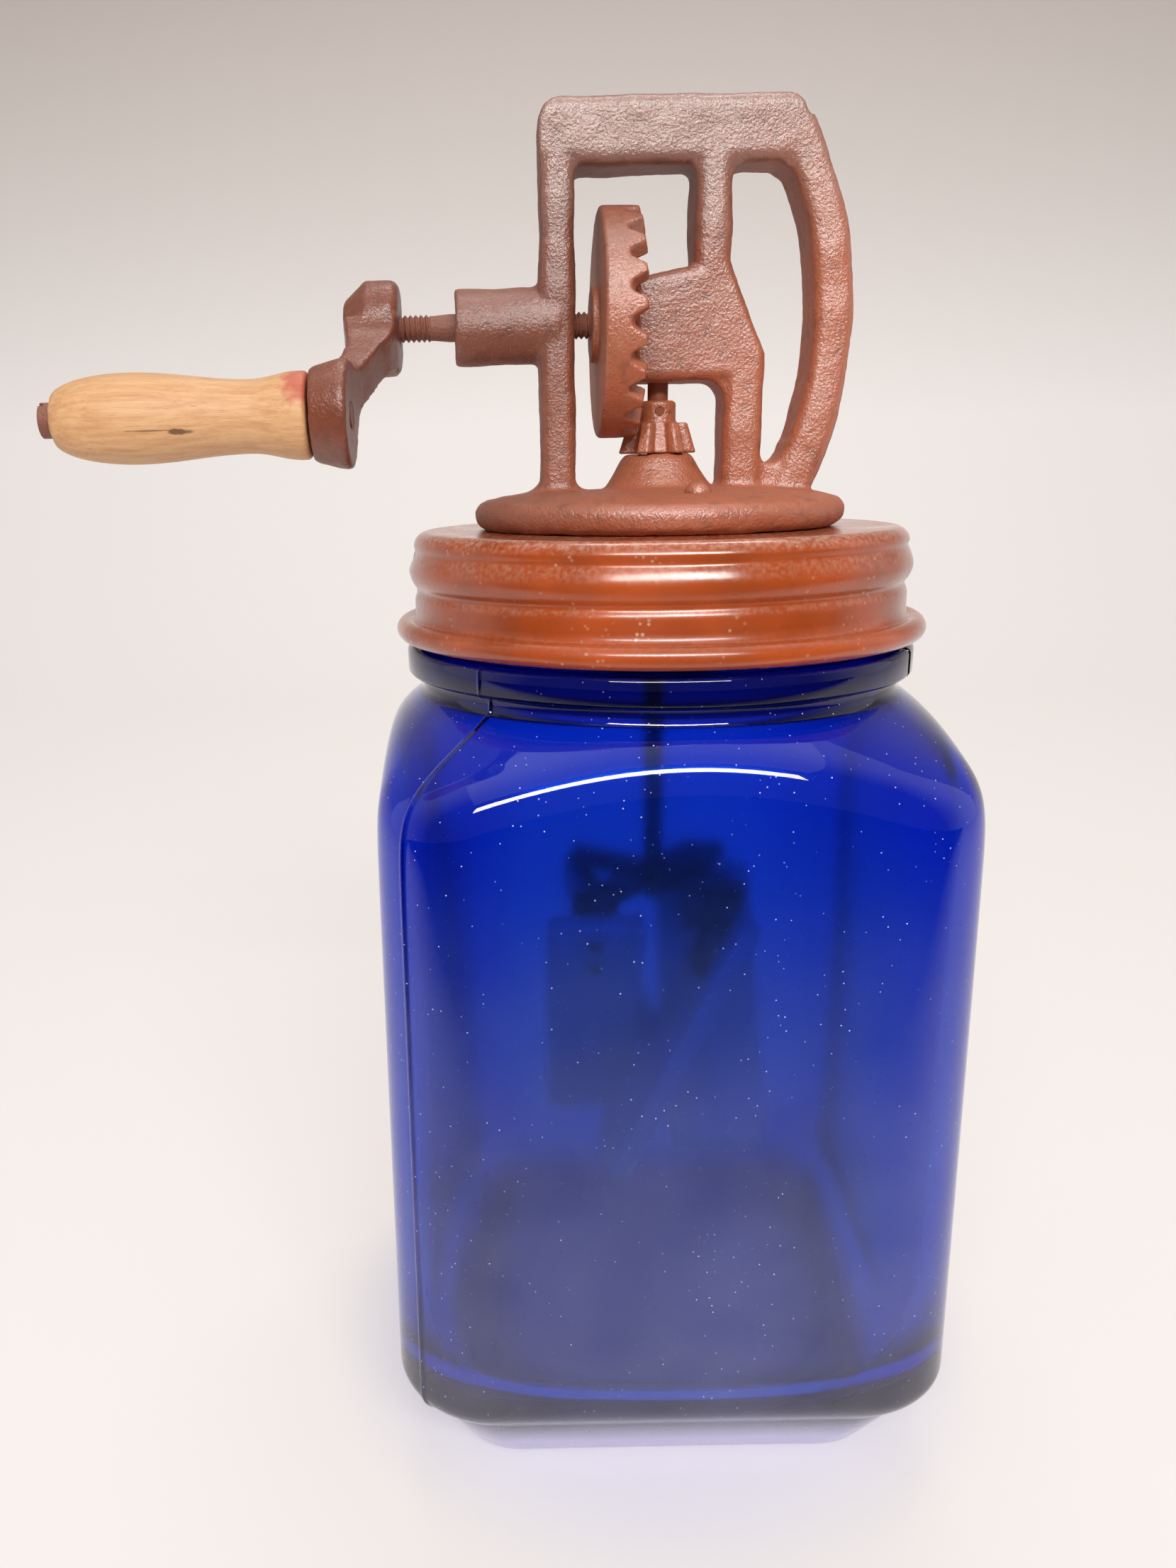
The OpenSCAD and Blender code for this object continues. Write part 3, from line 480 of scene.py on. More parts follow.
@dataclass(frozen=True)
class CastingPaint:
    """Red-brown gloss paint over sand-cast iron, dark in the pits and rubbed on the high spots.

    It is fresher and redder low down and towards the handhold, partly its own paint and partly painted
    light on that side, and grey along the top, partly worn paint and partly a painted sheen. Broad faces,
    marked by the attribute "rubbed", have a fine sheen where the paint is fresh or rubbed bright, and the
    recesses are matt. Heights in mm: the fresh coat fades out along height less slant times x, and the
    bright one begins along height plus bright_slant times x.
    """

    name: str = "red_brown_paint_on_cast_iron"
    body: str = "#7E4530"
    # fresh: lighter, redder paint, partly its own colour and partly painted light on the lower, handhold
    # side
    fresh: str = "#B05E3A"
    # worn: grey of worn paint on the broad faces along the top, partly a painted sheen
    worn: str = "#A98A7E"
    pit: str = "#57301F"
    rub: str = "#A9765F"
    fade: Span = (240.0, 305.0)
    slant: float = 1.2
    worn_and_sheen_from: Span = (292.0, 322.0)
    bright_from: Span = (243.0, 295.0)
    bright_slant: float = 0.8
    coat: Span = (0.1, 1.0)
    coat_rough: float = 0.28
    specular: float = 1.0
    sand: float = 1.0

    def build(self) -> Material:
        """Make the paint from the casting's own grain and broad wear patterns."""
        material, tree, place = new_tree(self.name)
        part = axes(tree, place)
        grain, rubbed = marked(tree, "grain"), marked(tree, "rubbed")
        # partly painted light: the paint turns lighter and redder downwards and to the right, where more
        # light falls
        slanted = sums(tree, "MULTIPLY_ADD", part["X"], -self.slant, part["Z"])
        aged_and_shaded = ramp(tree, slanted, *mm(*self.fade))
        base = blend(tree, aged_and_shaded, self.fresh, self.body)
        # partly painted sheen: broad faces along the top are mixed towards a pale grey
        top = ramp(tree, part["Z"], *mm(*self.worn_and_sheen_from), 0.0, 0.35)
        grey = blend(tree, sums(tree, "MULTIPLY", top, rubbed), base, self.worn)
        dark = blend(tree, ramp(tree, grain, -0.75, -0.1, 0.5, 0.0), grey, self.pit)
        patchy = ramp(tree, noise(tree, place, 90.0, 5.0), 0.4, 0.65)
        spots = sums(tree, "MULTIPLY", ramp(tree, grain, 0.2, 0.8, 0.0, 0.7), patchy)
        towards = sums(tree, "MULTIPLY_ADD", part["X"], self.bright_slant, part["Z"])
        bright = ramp(tree, towards, *mm(*self.bright_from), 0.15, 1.0)
        gloss = sums(tree, "MAXIMUM", bright, ramp(tree, aged_and_shaded, 0.0, 1.0, 0.8, 0.0))
        sheen = sums(tree, "MULTIPLY", rubbed, gloss)
        sand = bump(tree, noise(tree, place, 1400.0, 3.0, Roughness=0.6), self.sand, 0.0003)
        shade(tree, {"Base Color": blend(tree, spots, dark, self.rub),
                     "Roughness": ramp(tree, rubbed, 0.0, 1.0, 0.72, 0.42), "IOR": 1.5,
                     "Specular IOR Level": self.specular,
                     "Coat Weight": ramp(tree, sheen, 0.0, 1.0, *self.coat),
                     "Coat Roughness": self.coat_rough, "Coat IOR": 1.8, "Coat Normal": sand,
                     "Normal": sand})
        return material


class GrainFrom(Enum):
    """Where a wood's grain runs from."""

    OBJECT_X = "Object"
    UV = "UV"


@dataclass(frozen=True)
class Mark:
    """A ragged patch on a surface: place and half sizes in millimetres, colour, and how much it covers."""

    place: Triple
    reach: Triple
    colour: str
    cover: float


@dataclass(frozen=True)
class Timber:
    """Sawn or turned wood: long pale and dark growth streaks, fine pores, and marks of use."""

    name: str
    pale: str
    dark: str
    pore: str
    grain: GrainFrom
    rough: float = 0.5
    across: float = 1.6
    along: float = 70.0
    marks: tuple[Mark, ...] = ()

    def build(self) -> Material:
        """Make the wood: streaks far longer than wide, pores along them, and its marks."""
        material, tree, _ = new_tree(self.name)
        place = add(tree, "TexCoord").outputs[self.grain.value]
        across = 1000 / self.across
        scale = (1000 / self.along, across, across)
        stretch = add(tree, "Mapping", {"Vector": place, "Scale": scale}).outputs[0]
        wide = noise(tree, stretch, 1.0, 5.0, Roughness=0.6, Distortion=0.3)
        fine = noise(tree, stretch, 5.0, 3.0)
        wood = blend(tree, ramp(tree, wide, 0.32, 0.7), self.pale, self.dark)
        colour = blend(tree, ramp(tree, fine, 0.58, 0.78, 0.0, 0.6), wood, self.pore)
        ragged = noise(tree, place, 420.0, 4.0)
        for patch in self.marks:
            offset = add(tree, "VectorMath", {0: place, 1: mm(*patch.place)}, operation="SUBTRACT")
            scaled = add(tree, "VectorMath", {0: offset.outputs[0], 1: mm(*patch.reach)},
                         operation="DIVIDE")
            far = add(tree, "VectorMath", {0: scaled.outputs[0]}, operation="LENGTH").outputs["Value"]
            edge = sums(tree, "MULTIPLY_ADD", ragged, 1.4, far)
            colour = blend(tree, ramp(tree, edge, 1.3, 1.8, patch.cover, 0.0), colour, patch.colour)
        shade(tree, {"Base Color": colour, "Roughness": self.rough, "IOR": 1.5,
                     "Normal": bump(tree, fine, 0.25, 0.0004)})
        return material


@dataclass(frozen=True)
class AgedSteel:
    """Cold-rolled steel gone dull: dark oxide with lighter streaks, painted over above the lid."""

    bright: str = "#7A746D"
    oxide: str = "#39332F"
    paint: str = "#8A4A33"
    paint_from: Span = (233.0, 236.0)

    def build(self) -> Material:
        """Make the steel."""
        material, tree, place = new_tree("aged_cold_rolled_steel")
        cloud = noise(tree, place, 130.0, 6.0, Roughness=0.65)
        part = ramp(tree, cloud, 0.38, 0.62)
        over = ramp(tree, axes(tree, place)["Z"], *mm(*self.paint_from))
        bare = blend(tree, part, self.bright, self.oxide)
        shade(tree, {"Base Color": blend(tree, over, bare, self.paint),
                     "Metallic": ramp(tree, over, 0.0, 1.0, 0.85, 0.0),
                     "Roughness": ramp(tree, part, 0.0, 1.0, 0.32, 0.6),
                     "Normal": bump(tree, cloud, 0.15, 0.0003)})
        return material


@dataclass(frozen=True)
class SealRubber:
    """Red jar-ring rubber, moulded and chalky."""

    fresh: str = "#8A4034"
    chalk: str = "#A9776A"

    def build(self) -> Material:
        """Make the rubber."""
        material, tree, place = new_tree("red_jar_ring_rubber")
        bloom = noise(tree, place, 260.0, 4.0)
        shade(tree, {"Base Color": blend(tree, ramp(tree, bloom, 0.45, 0.7), self.fresh, self.chalk),
                     "Roughness": 0.7, "Normal": bump(tree, bloom, 0.2, 0.0003)})
        return material


@dataclass(frozen=True)
class StudioPaper:
    """Matt seamless paper, warm white. Places in metres."""

    colour: str = "#F9F3F0"
    # painted shade: the paper darkens up the wall
    wall_shade_colour: str = "#BAAFA8"
    wall_shade_from: Span = (0.3, 1.0)
    # tint: painted blue light near the jar, standing in for light through the glass
    tint: str = "#C4C6F2"
    glow_reach: Span = (0.06, 0.1)
    # painted reflection: the paper is dark in mirrors in front of it
    dark_reflection_colour: str = "#2B2724"
    dark_reflection_from: Span = (-0.32, -0.15)
    shown: float = 0.5

    def build(self) -> Material:
        """Make the paper: painted shade darker up the wall, painted blue light near the jar, and a painted
        dark reflection in mirrors in front of it.

        A part of what camera, glass and mirrors see is the paper's own colour, so that it stays pale while
        the rest keeps the object's shadow.
        """
        material, tree, place = new_tree("seamless_paper")
        part = axes(tree, place)
        near = add(tree, "VectorMath", {0: place}, operation="LENGTH").outputs["Value"]
        # painted light: a blue glow on the floor round the jar
        painted_blue_glow = ramp(tree, near, *self.glow_reach, 0.3, 0.0, interpolation_type="SMOOTHSTEP")
        # painted shade: darker colour higher up the wall
        wall = blend(tree, ramp(tree, part["Z"], *self.wall_shade_from), self.colour, self.wall_shade_colour)
        # painted reflection: darkness that mirrors see in front of the jar
        front = ramp(tree, part["Y"], *self.dark_reflection_from, 1.0, 0.0)
        seen, mirror = ray_kinds(tree)
        colour = blend(tree, sums(tree, "MULTIPLY", front, mirror), blend(tree, painted_blue_glow, wall, self.tint),
                       self.dark_reflection_colour)
        fibre = bump(tree, noise(tree, place, 300.0, 3.0), 0.05, 0.0005)
        surface = add(tree, "BsdfPrincipled", {"Base Color": colour, "Roughness": 0.85,
                                               "Specular IOR Level": 0.2, "Normal": fibre})
        glow = add(tree, "Emission", {"Color": colour})
        share = sums(tree, "MULTIPLY", seen, self.shown)
        paper = add(tree, "MixShader", {"Fac": share, 1: surface.outputs[0], 2: glow.outputs[0]})
        add(tree, "OutputMaterial", {"Surface": paper.outputs[0]})
        return material


# Pieces

@dataclass
class GlassJar:
    """The square jar: sloping foot, flat sides, round shoulder, collar and threaded neck. Millimetres."""

    half: float = 69.0
    corner: float = 23.0
    foot_half: float = 53.0
    foot_corner: float = 15.0
    foot_height: float = 18.0
    foot_edge: tuple[Span, ...] = ((0.0, -2.6), (0.35, -1.3), (1.1, -0.45), (2.4, 0.0))
    heel_height: float = 10.0
    heel_inset: float = 5.5
    shoulder_top: float = 192.4
    shoulder_slope: float = 28.0
    shoulder_soft: float = 2.0
    blend: float = 14.0
    throat: float = 60.0
    collar: float = 63.5
    collar_top: float = 203.0
    collar_edge: tuple[Span, ...] = (
        (195.2, 60.0), (195.7, 60.3), (195.85, 62.2), (196.2, 63.1), (196.9, 63.5), (201.8, 63.5),
        (202.6, 63.1), (202.95, 62.2), (203.0, 60.8), (203.3, 58.6), (204.2, 57.7))
    neck: float = 57.5
    rim: float = 228.0
    wall: float = 4.2
    inside_power: float = 6.0
    floor_power: float = 4.2
    power_zone: Span = (14.0, 55.0)
    floor: float = 12.0
    bowl: float = 24.0
    bowl_foot: float = 44.0
    unevenness: float = 0.22
    thread_height: float = 1.2
    thread_half: float = 1.5
    thread_start: float = 5.5
    thread_lead: float = 6.4
    thread_turns: float = 1.25
    seams: Span = (-135.0, 45.0)
    seam_height: float = 0.6
    notch: float = -28.0
    notch_depth: float = 1.7

    def angles(self) -> Array:
        """Directions round the jar in radians, closer together at the seams and the collar's notch."""
        even = np.arange(0, 360, 1.5)
        close = np.linspace(-1.6, 1.6, 17)
        near = np.concatenate([s + close for s in (*self.seams, self.notch)])
        return np.radians(np.unique(np.round(np.concatenate([even, near % 360]), 4)))

    def square(self, a: Array, half: Array, corner: Array) -> Array:
        """Distance from the middle to a rounded square's edge.

        Args:
            a: Directions in radians, shape (1, points).
            half: Half widths, shape (rows, 1).
            corner: Corner radii, shape (rows, 1).

        Returns:
            Radii of shape (rows, points): half / cos on the flats, a corner circle elsewhere.
        """
        b = np.abs(np.mod(a, np.pi / 2) - np.pi / 4)
        m = (half - corner) * math.sqrt(2)
        flat = half / np.cos(np.pi / 4 - b)
        bend = m * np.cos(b) + np.sqrt(np.maximum(corner**2 - (m * np.sin(b)) ** 2, 0))
        return np.where(np.pi / 4 - b < np.arctan((half - corner) / half), flat, bend)

    def body(self, z: Array, inset: float) -> tuple[Array, Array, Array]:
        """Half width, corner radius and shoulder limit at heights on the body.

        Args:
            z: Heights, shape (rows, 1).
            inset: Distance inside the outer skin.

        Returns:
            Three arrays of the heights' shape. The shoulder is a cone with a soft start at the throat.
        """
        slope = self.foot_half + (self.half - self.heel_inset - self.foot_half) * z / self.foot_height
        t = np.clip((z - self.foot_height) / self.heel_height, 0, 1)
        side = self.half - self.heel_inset * (1 - t) ** 2
        half = np.where(z < self.foot_height, slope, side) - inset
        grown = np.clip(z / (self.foot_height + self.heel_height), 0, 1)
        corner = self.foot_corner + (self.corner - self.foot_corner) * grown
        d = np.maximum(self.shoulder_top - z, 0)
        drop = (np.sqrt(d**2 + self.shoulder_soft**2) + d - self.shoulder_soft) / 2
        return half, corner, self.throat + drop / math.tan(math.radians(self.shoulder_slope))

    def skin(self, a: Array, z: Array, inset: float, neck_in: float) -> Array:
        """Body radii: the smooth lesser of the square and the shoulder cone.

        The square is a rounded one outside, and inside a superellipse, half / (|cos|^n + |sin|^n)^(1 / n),
        whose power falls towards the floor, where the inside is rounder.

        Args:
            a: Directions, shape (1, points).
            z: Heights, shape (rows, 1).
            inset: Distance inside the outer skin.
            neck_in: Extra inset of the shoulder.

        Returns:
            Radii of shape (rows, points).
        """
        half, corner, limit = self.body(z, inset)
        n = self.floor_power + (self.inside_power - self.floor_power) * smooth_step(z, *self.power_zone)
        soft = half / (np.abs(np.cos(a)) ** n + np.abs(np.sin(a)) ** n) ** (1 / n)
        edge = soft if inset > 0 else self.square(a, half, corner)
        p = self.blend
        return (edge**-p + (limit - neck_in) ** -p) ** (-1 / p)

    def thread(self, a: Array, z: Array) -> Array:
        """Height of the neck's thread: a rounded ridge that climbs with the angle and fades at its ends.

        Args:
            a: Directions, shape (1, points).
            z: Heights, shape (rows, 1).

        Returns:
            Heights of shape (rows, points).
        """
        total = np.zeros(np.broadcast_shapes(a.shape, z.shape))
        for lap in range(2):
            turn = a / TURN + lap
            rise = z - self.collar_top - self.thread_start - self.thread_lead * turn
            wide = self.thread_half
            ridge = np.where(np.abs(rise) < wide, np.cos(rise / wide * np.pi / 2), 0)
            fade = np.clip(np.minimum(turn, self.thread_turns - turn) * 12, 0, 1)
            total = np.maximum(total, ridge * fade)
        return self.thread_height * total

    def outside(self, a: Array) -> list[tuple[Array, Array]]:
        """Bands of radii and heights up the body, the collar and the neck, with seams and the notch.

        Args:
            a: Directions, shape (1, points).

        Returns:
            Radii and heights of each band.
        """
        seam = sum(np.exp(-(away(a, s) * 80 / 0.55) ** 2) for s in self.seams)
        gap = 1 - smooth_step(np.abs(away(a, self.notch)) * self.collar, 0.7, 1.3)
        foot, ring = np.array(self.foot_edge), np.array(self.collar_edge)
        z = np.concatenate([foot[:, 0], [6, 10, 14, 17, 18, 18.8], np.linspace(20, 29, 9),
                            np.linspace(36, 140, 27), np.linspace(143, self.shoulder_top, 40)])[:, None]
        trim = np.interp(z, foot[:, 0], foot[:, 1])
        outer = self.skin(a, z, 0.0, 0.0) + trim + self.seam_height * seam * smooth_step(z, 16, 24)
        cut = self.notch_depth * gap * smooth_step(ring[:, 1:], 60.6, 62.5)
        neck_z = np.linspace(205, 226.4, 44)[:, None]
        return [(outer, z), (ring[:, 1:] - cut + 0.25 * seam, ring[:, :1]),
                (self.neck + self.thread(a, neck_z), neck_z)]

    def inside(self, a: Array) -> tuple[Array, Array]:
        """Radii and heights down the body's inside, a little wavy, to the bowl of the floor.

        Args:
            a: Directions, shape (1, points).

        Returns:
            Radii and heights of one band.
        """
        curve = np.radians(np.linspace(86, 3, 16))
        low = self.floor + self.bowl * (1 - np.cos(curve))
        z = np.concatenate([np.linspace(self.shoulder_top - 1, 146, 36),
                            np.linspace(140, self.floor + self.bowl + 3, 24), low])[:, None]
        r = np.minimum(self.skin(a, z, self.wall, self.wall * 1.6), self.skin(a, z, self.wall, 0.0))
        drawn = np.concatenate([np.zeros(len(z) - len(low)), 1 - np.sin(curve)])[:, None]
        wave = np.sin(3 * a + z / 19) * np.sin(z / 27 + 0.8) + 0.6 * np.sin(5 * a - z / 33)
        r = r - (r - self.bowl_foot) * drawn - self.unevenness * wave * (1 - drawn)
        return np.maximum(r, (self.neck - self.wall) * smooth_step(z, 180, 190)), z

    def build(self) -> Piece:
        """Make the closed glass shell: up the outside, over the rim and down the inside."""
        a = self.angles()[None, :]
        bore = self.neck - self.wall
        lip = np.vstack([arc(self.neck - 1.6, self.rim - 1.6, 1.6, 0, 90, 5),
                         arc(bore + 1.3, self.rim - 1.3, 1.3, 90, 180, 5)])
        throat = (np.array([[bore]] * 3), np.array([[222.0], [208.0], [196.0]]))
        inner = self.inside(a)
        rings = wind(a, [*self.outside(a), (lip[:, :1], lip[:, 1:]), throat, inner])
        piece = loft("jar_glass", rings, cap_start=True, cap_end=True)
        within = np.arange(len(rings)) >= len(rings) - len(inner[1]) - len(throat[1])
        mark(piece.data, "inside", np.append(np.repeat(within, a.shape[1]), [False, True]))
        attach(piece, Body.JAR.value)
        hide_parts("glass_jar")
        return piece


@dataclass
class ScrewLid:
    """The pressed lid: flat top, one rolled thread that climbs round the skirt, and a curled bead.

    Millimetres, and degrees for the roll's start at the left.
    """

    skirt: float = 61.1
    top: float = 230.6
    sheet: float = 1.0
    bead_z: float = 207.0
    bead: float = 2.7
    shoulder: float = 3.6
    roll_z: float = 222.0
    roll_lead: float = 2.4
    roll_start: float = 176.0
    roll_half: float = 4.6
    roll_height: float = 1.05
    groove_depth: float = 0.75
    lump_height: float = 0.4
    hole: float = 4.5

    def relief(self, a: Array, z: Array) -> Array:
        """How far the skirt stands out: a cosine roll between two grooves, with a lump where it starts.

        Args:
            a: Directions, shape (1, points).
            z: Heights, shape (rows, 1).

        Returns:
            Offsets of shape (rows, points).
        """
        turn = np.mod(a - math.radians(self.roll_start), TURN) / TURN
        h = z - (self.roll_z + self.roll_lead * (turn - 0.5))
        roll = 0.5 + 0.5 * np.cos(np.pi * np.clip(h / self.roll_half, -1, 1))
        grooves = 0.6 * np.exp(-((h - 4.8) / 1.2) ** 2) + np.exp(-((h + 4.5) / 1.3) ** 2)
        from_start = np.minimum(turn, 1 - turn) * 360
        lump = np.exp(-((from_start - 3) / 2.6) ** 2) * np.exp(-((h + 0.4) / 2.6) ** 2)
        fade = smooth_step(from_start, 0, 4)
        raised = self.roll_height * roll * (0.5 + 0.5 * fade) - self.groove_depth * grooves * fade
        return raised + self.lump_height * lump

    def build(self) -> Piece:
        """Make the lid's sheet: out over the top, down the skirt, round the bead and back inside."""
        a = np.radians(np.arange(0, 360, 1.25))[None, :]
        top, under, round_r = self.top, self.top - self.sheet, self.shoulder
        crown = np.vstack([[[self.hole, top], [20, top], [44, top], [46.5, top - 0.25], [52, top - 0.3]],
                           arc(self.skirt - round_r, top - round_r, round_r, 90, 8, 10)])
        z = np.linspace(top - round_r - 0.4, self.bead_z + 4.6, 56)[:, None]
        side = self.skirt + self.relief(a, z) + 0.12 * np.sin(2 * a + 0.6)
        curl = np.vstack([[[self.skirt + 0.1, self.bead_z + 3.6], [self.skirt + 0.5, self.bead_z + 2.9]],
                          arc(self.skirt + self.bead * 0.8, self.bead_z, self.bead, 118, -165, 26)])
        inner = self.skirt - self.sheet
        back = np.array([[inner, top - 1.6], [inner - 1, under], [40, under], [self.hole, under]])
        rings = wind(a, [(crown[:, :1], crown[:, 1:]), (side, z), (curl[:, :1], curl[:, 1:]),
                         (np.array([[inner]]), np.array([[self.bead_z + 0.6]])),
                         (side[::-1] - self.sheet, z[::-1] - 0.2), (back[:, :1], back[:, 1:])])
        piece = loft("lid_pressed", rings[::-1], wrap=True)
        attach(piece, Body.LID.value)
        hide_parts("screw_lid")
        return piece


@dataclass
class Castings:
    """The painted castings, softened copies of their solids: node, body, voxel, passes, grain, swell."""

    parts: tuple[tuple[str, Body, float, int, float, float], ...] = (
        ("gear_frame", Body.LID, 0.7, 6, 0.12, 0.6),
        ("crank_arm", Body.CRANK, 0.55, 12, 0.1, 0.5),
        ("drive_gear", Body.CRANK, 0.42, 3, 0.05, 0.06),
        ("pinion", Body.DASHER, 0.32, 3, 0.04, 0.05),
        ("frame_screws", Body.LID, 0.3, 3, 0.05, 0.05),
    )

    def build(self) -> list[Piece]:
        """Make every casting."""
        made = []
        for node, body, voxel, passes, grain, swell in self.parts:
            piece = cast_copy(node, voxel, passes, grain, swell)
            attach(piece, body.value)
            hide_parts(node)
            made.append(piece)
        return made


@dataclass
class Crank:
    """The threaded crankshaft and the turned grip. Millimetres."""

    axis_z: float = 278.6
    shaft: float = 3.2
    pitch: float = 1.27
    thread_depth: float = 0.72
    thread_step: float = 0.11
    waist_depth: float = 0.35
    chamfer: float = 0.5
    throw: float = 43.6
    angle: float = 29.0
    grip_length: float = 55.4
    grip_belly: float = 9.6
    grip_neck: float = 7.7
    grip_foot: float = 9.2
    grip_bore: float = 2.6
    grip_wobble: float = 0.006
    grip_points: int = 96
    ends: Span = field(init=False)

    def __post_init__(self) -> None:
        """Read the shaft's ends from its solid."""
        low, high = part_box("crankshaft")
        self.ends = (low.x / MM, high.x / MM)

    def build_shaft(self) -> Piece:
        """Make the shaft: its radius dips along a helix where the thread shows, and is plain elsewhere."""
        left, right = self.ends
        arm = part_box("crank_arm")[1].x / MM
        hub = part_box("drive_gear")[0].x / MM
        post = hub - 4.0
        x = np.concatenate([[left, left + 0.5], np.arange(arm - 0.6, arm + 8.4, self.thread_step),
                            [arm + 12, post - 2], np.arange(post - 0.6, hub + 0.6, self.thread_step),
                            [hub + 3, right - 0.5, right]])[:, None]
        a = np.linspace(0, TURN, 48, endpoint=False)[None, :]
        phase = np.abs(np.mod(x / self.pitch - a / TURN, 1) - 0.5) * 2
        past = smooth_step(x, arm + 7, arm + 7.8)
        zone = np.maximum(smooth_step(x, arm, arm + 0.4) * (1 - past),
                          smooth_step(x, post, post + 0.3) * (1 - smooth_step(x, hub - 0.3, hub)))
        waist = past * (1 - smooth_step(x, arm + 11.6, arm + 12))
        r = self.shaft - self.thread_depth * zone * phase - self.waist_depth * waist
        r = np.where((x < left + 0.2) | (x > right - 0.2), self.shaft - self.chamfer, r)
        rings = np.stack([x + 0 * a, r * np.cos(a), self.axis_z + r * np.sin(a)], -1)
        piece = loft("crankshaft_threaded", rings, cap_start=True, cap_end=True)
        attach(piece, Body.CRANK.value)
        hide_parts("crankshaft")
        return piece

    def build_grip(self) -> Piece:
        """Make the grip round its bore: foot, neck, belly and dome as cosine and ellipse spans."""
        length, bore, neck, wide = self.grip_length, self.grip_bore, self.grip_neck, self.grip_belly
        end = bore + 1.9
        t = np.linspace(0, 1, 25)
        fall, rise = 0.5 + 0.5 * np.cos(np.pi * t), 0.5 - 0.5 * np.cos(np.pi * t)
        flare = np.stack([neck + (self.grip_foot - neck) * fall, length * (0.035 + 0.195 * t)], -1)
        belly = np.stack([neck + (wide - neck) * rise, length * (0.23 + 0.45 * t)], -1)[1:]
        dome = np.stack([end + (wide - end) * np.sqrt(1 - t**2), length * (0.68 + 0.32 * t)], -1)[1:]
        foot = arc(self.grip_foot - 1.2, 1.2, 1.2, -90, -10, 5)
        profile = np.vstack([[[bore, 0.2], [bore + 0.3, 0]], foot, flare, belly, dome,
                             [[bore + 0.2, length], [bore, length - 0.3], [bore, length * 0.5]]])
        a = np.linspace(0, TURN, self.grip_points, endpoint=False)[None, :]
        r, z = profile[:, :1], profile[:, 1:]
        wobble = self.grip_wobble * (np.sin(2 * a + z / 9) + 0.6 * np.sin(3 * a + 1))
        rings = wind(a, [(r * (1 + np.where(r > bore + 1, 1.0, 0.0) * wobble), z)])
        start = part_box("crank_grip")[1].x / MM
        laid = turned(rings, "Y", -90) + [start, 0, 0]
        laid = turned(laid + [0, -self.throw, 0], "X", self.angle) + [0, 0, self.axis_z]
        piece = loft("grip_turned", laid, wrap=True)
        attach(piece, Body.GRIP.value)
        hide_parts("crank_grip")
        return piece


@dataclass
class Dasher:
    """The wooden paddles on their spider. Millimetres, and degrees for their pitch."""

    count: int = 4
    height: float = 99.0
    reach: float = 17.0
    lead: float = 4.5
    pitch: float = 26.0
    width: float = 26.0
    length: float = 78.0
    thick: float = 6.0
    rounding: float = 1.1
    sharp: float = 60.0

    def board(self) -> Array:
        """Rings of one board along +Z: a rounded rectangle that draws in over its rounded ends.

        Returns:
            Rings of shape (rows, points, 3), centred.
        """
        h = self.length / 2
        z = np.concatenate([[-h, -h + 0.25, -h + 0.9, -h + 2.2], np.linspace(-h + 4, h - 4, 9),
                            [h - 2.2, h - 0.9, h - 0.25, h]])
        inset = np.interp(h - np.abs(z), [0, 0.25, 0.9, 2.2, 4], [2.6, 1.5, 0.7, 0.2, 0])
        r = self.rounding
        x, y = self.thick / 2 - r, self.width / 2 - r
        edge = np.vstack([arc(sx * x, sy * y, r, start, start + 90, 4)
                          for sx, sy, start in ((1, 1, 0), (-1, 1, 90), (-1, -1, 180), (1, -1, 270))])
        shrink = np.stack([1 - inset * 0.45 / (self.thick / 2), 1 - inset / (self.width / 2)], -1)
        flat = edge[None] * shrink[:, None]
        return np.concatenate([flat, np.broadcast_to(z[:, None, None], (*flat.shape[:2], 1))], -1)

    def build(self) -> list[Piece]:
        """Make the paddles, each with a UV map in metres along and across its board."""
        board = self.board()
        grain = np.stack([board[..., 2], board[..., 1] + 0.6 * board[..., 0]], -1).reshape(-1, 2) * MM
        grain = np.vstack([grain, [[-self.length / 2 * MM, 0], [self.length / 2 * MM, 0]]])
        placed = turned(board, "Y", self.pitch) + [self.lead, -self.reach, self.height]
        made = []
        for i in range(self.count):
            rings = turned(placed, "Z", 360 / self.count * i)
            piece = loft(f"paddle_board_{i + 1}", rings, cap_start=True, cap_end=True)
            mesh = piece.data
            corner = np.empty(len(mesh.loops), np.int32)
            mesh.loops.foreach_get("vertex_index", corner)
            layer = mesh.uv_layers.new(name="UVMap")
            shifted = grain[corner] + [0.13 * i, 0.05 * i]
            layer.data.foreach_set("uv", shifted.astype(np.float32).ravel())
            mesh.set_sharp_from_angle(angle=math.radians(self.sharp))
            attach(piece, Body.DASHER.value)
            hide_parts(f"paddle_{i + 1}")
            made.append(piece)
        return made


# Stage

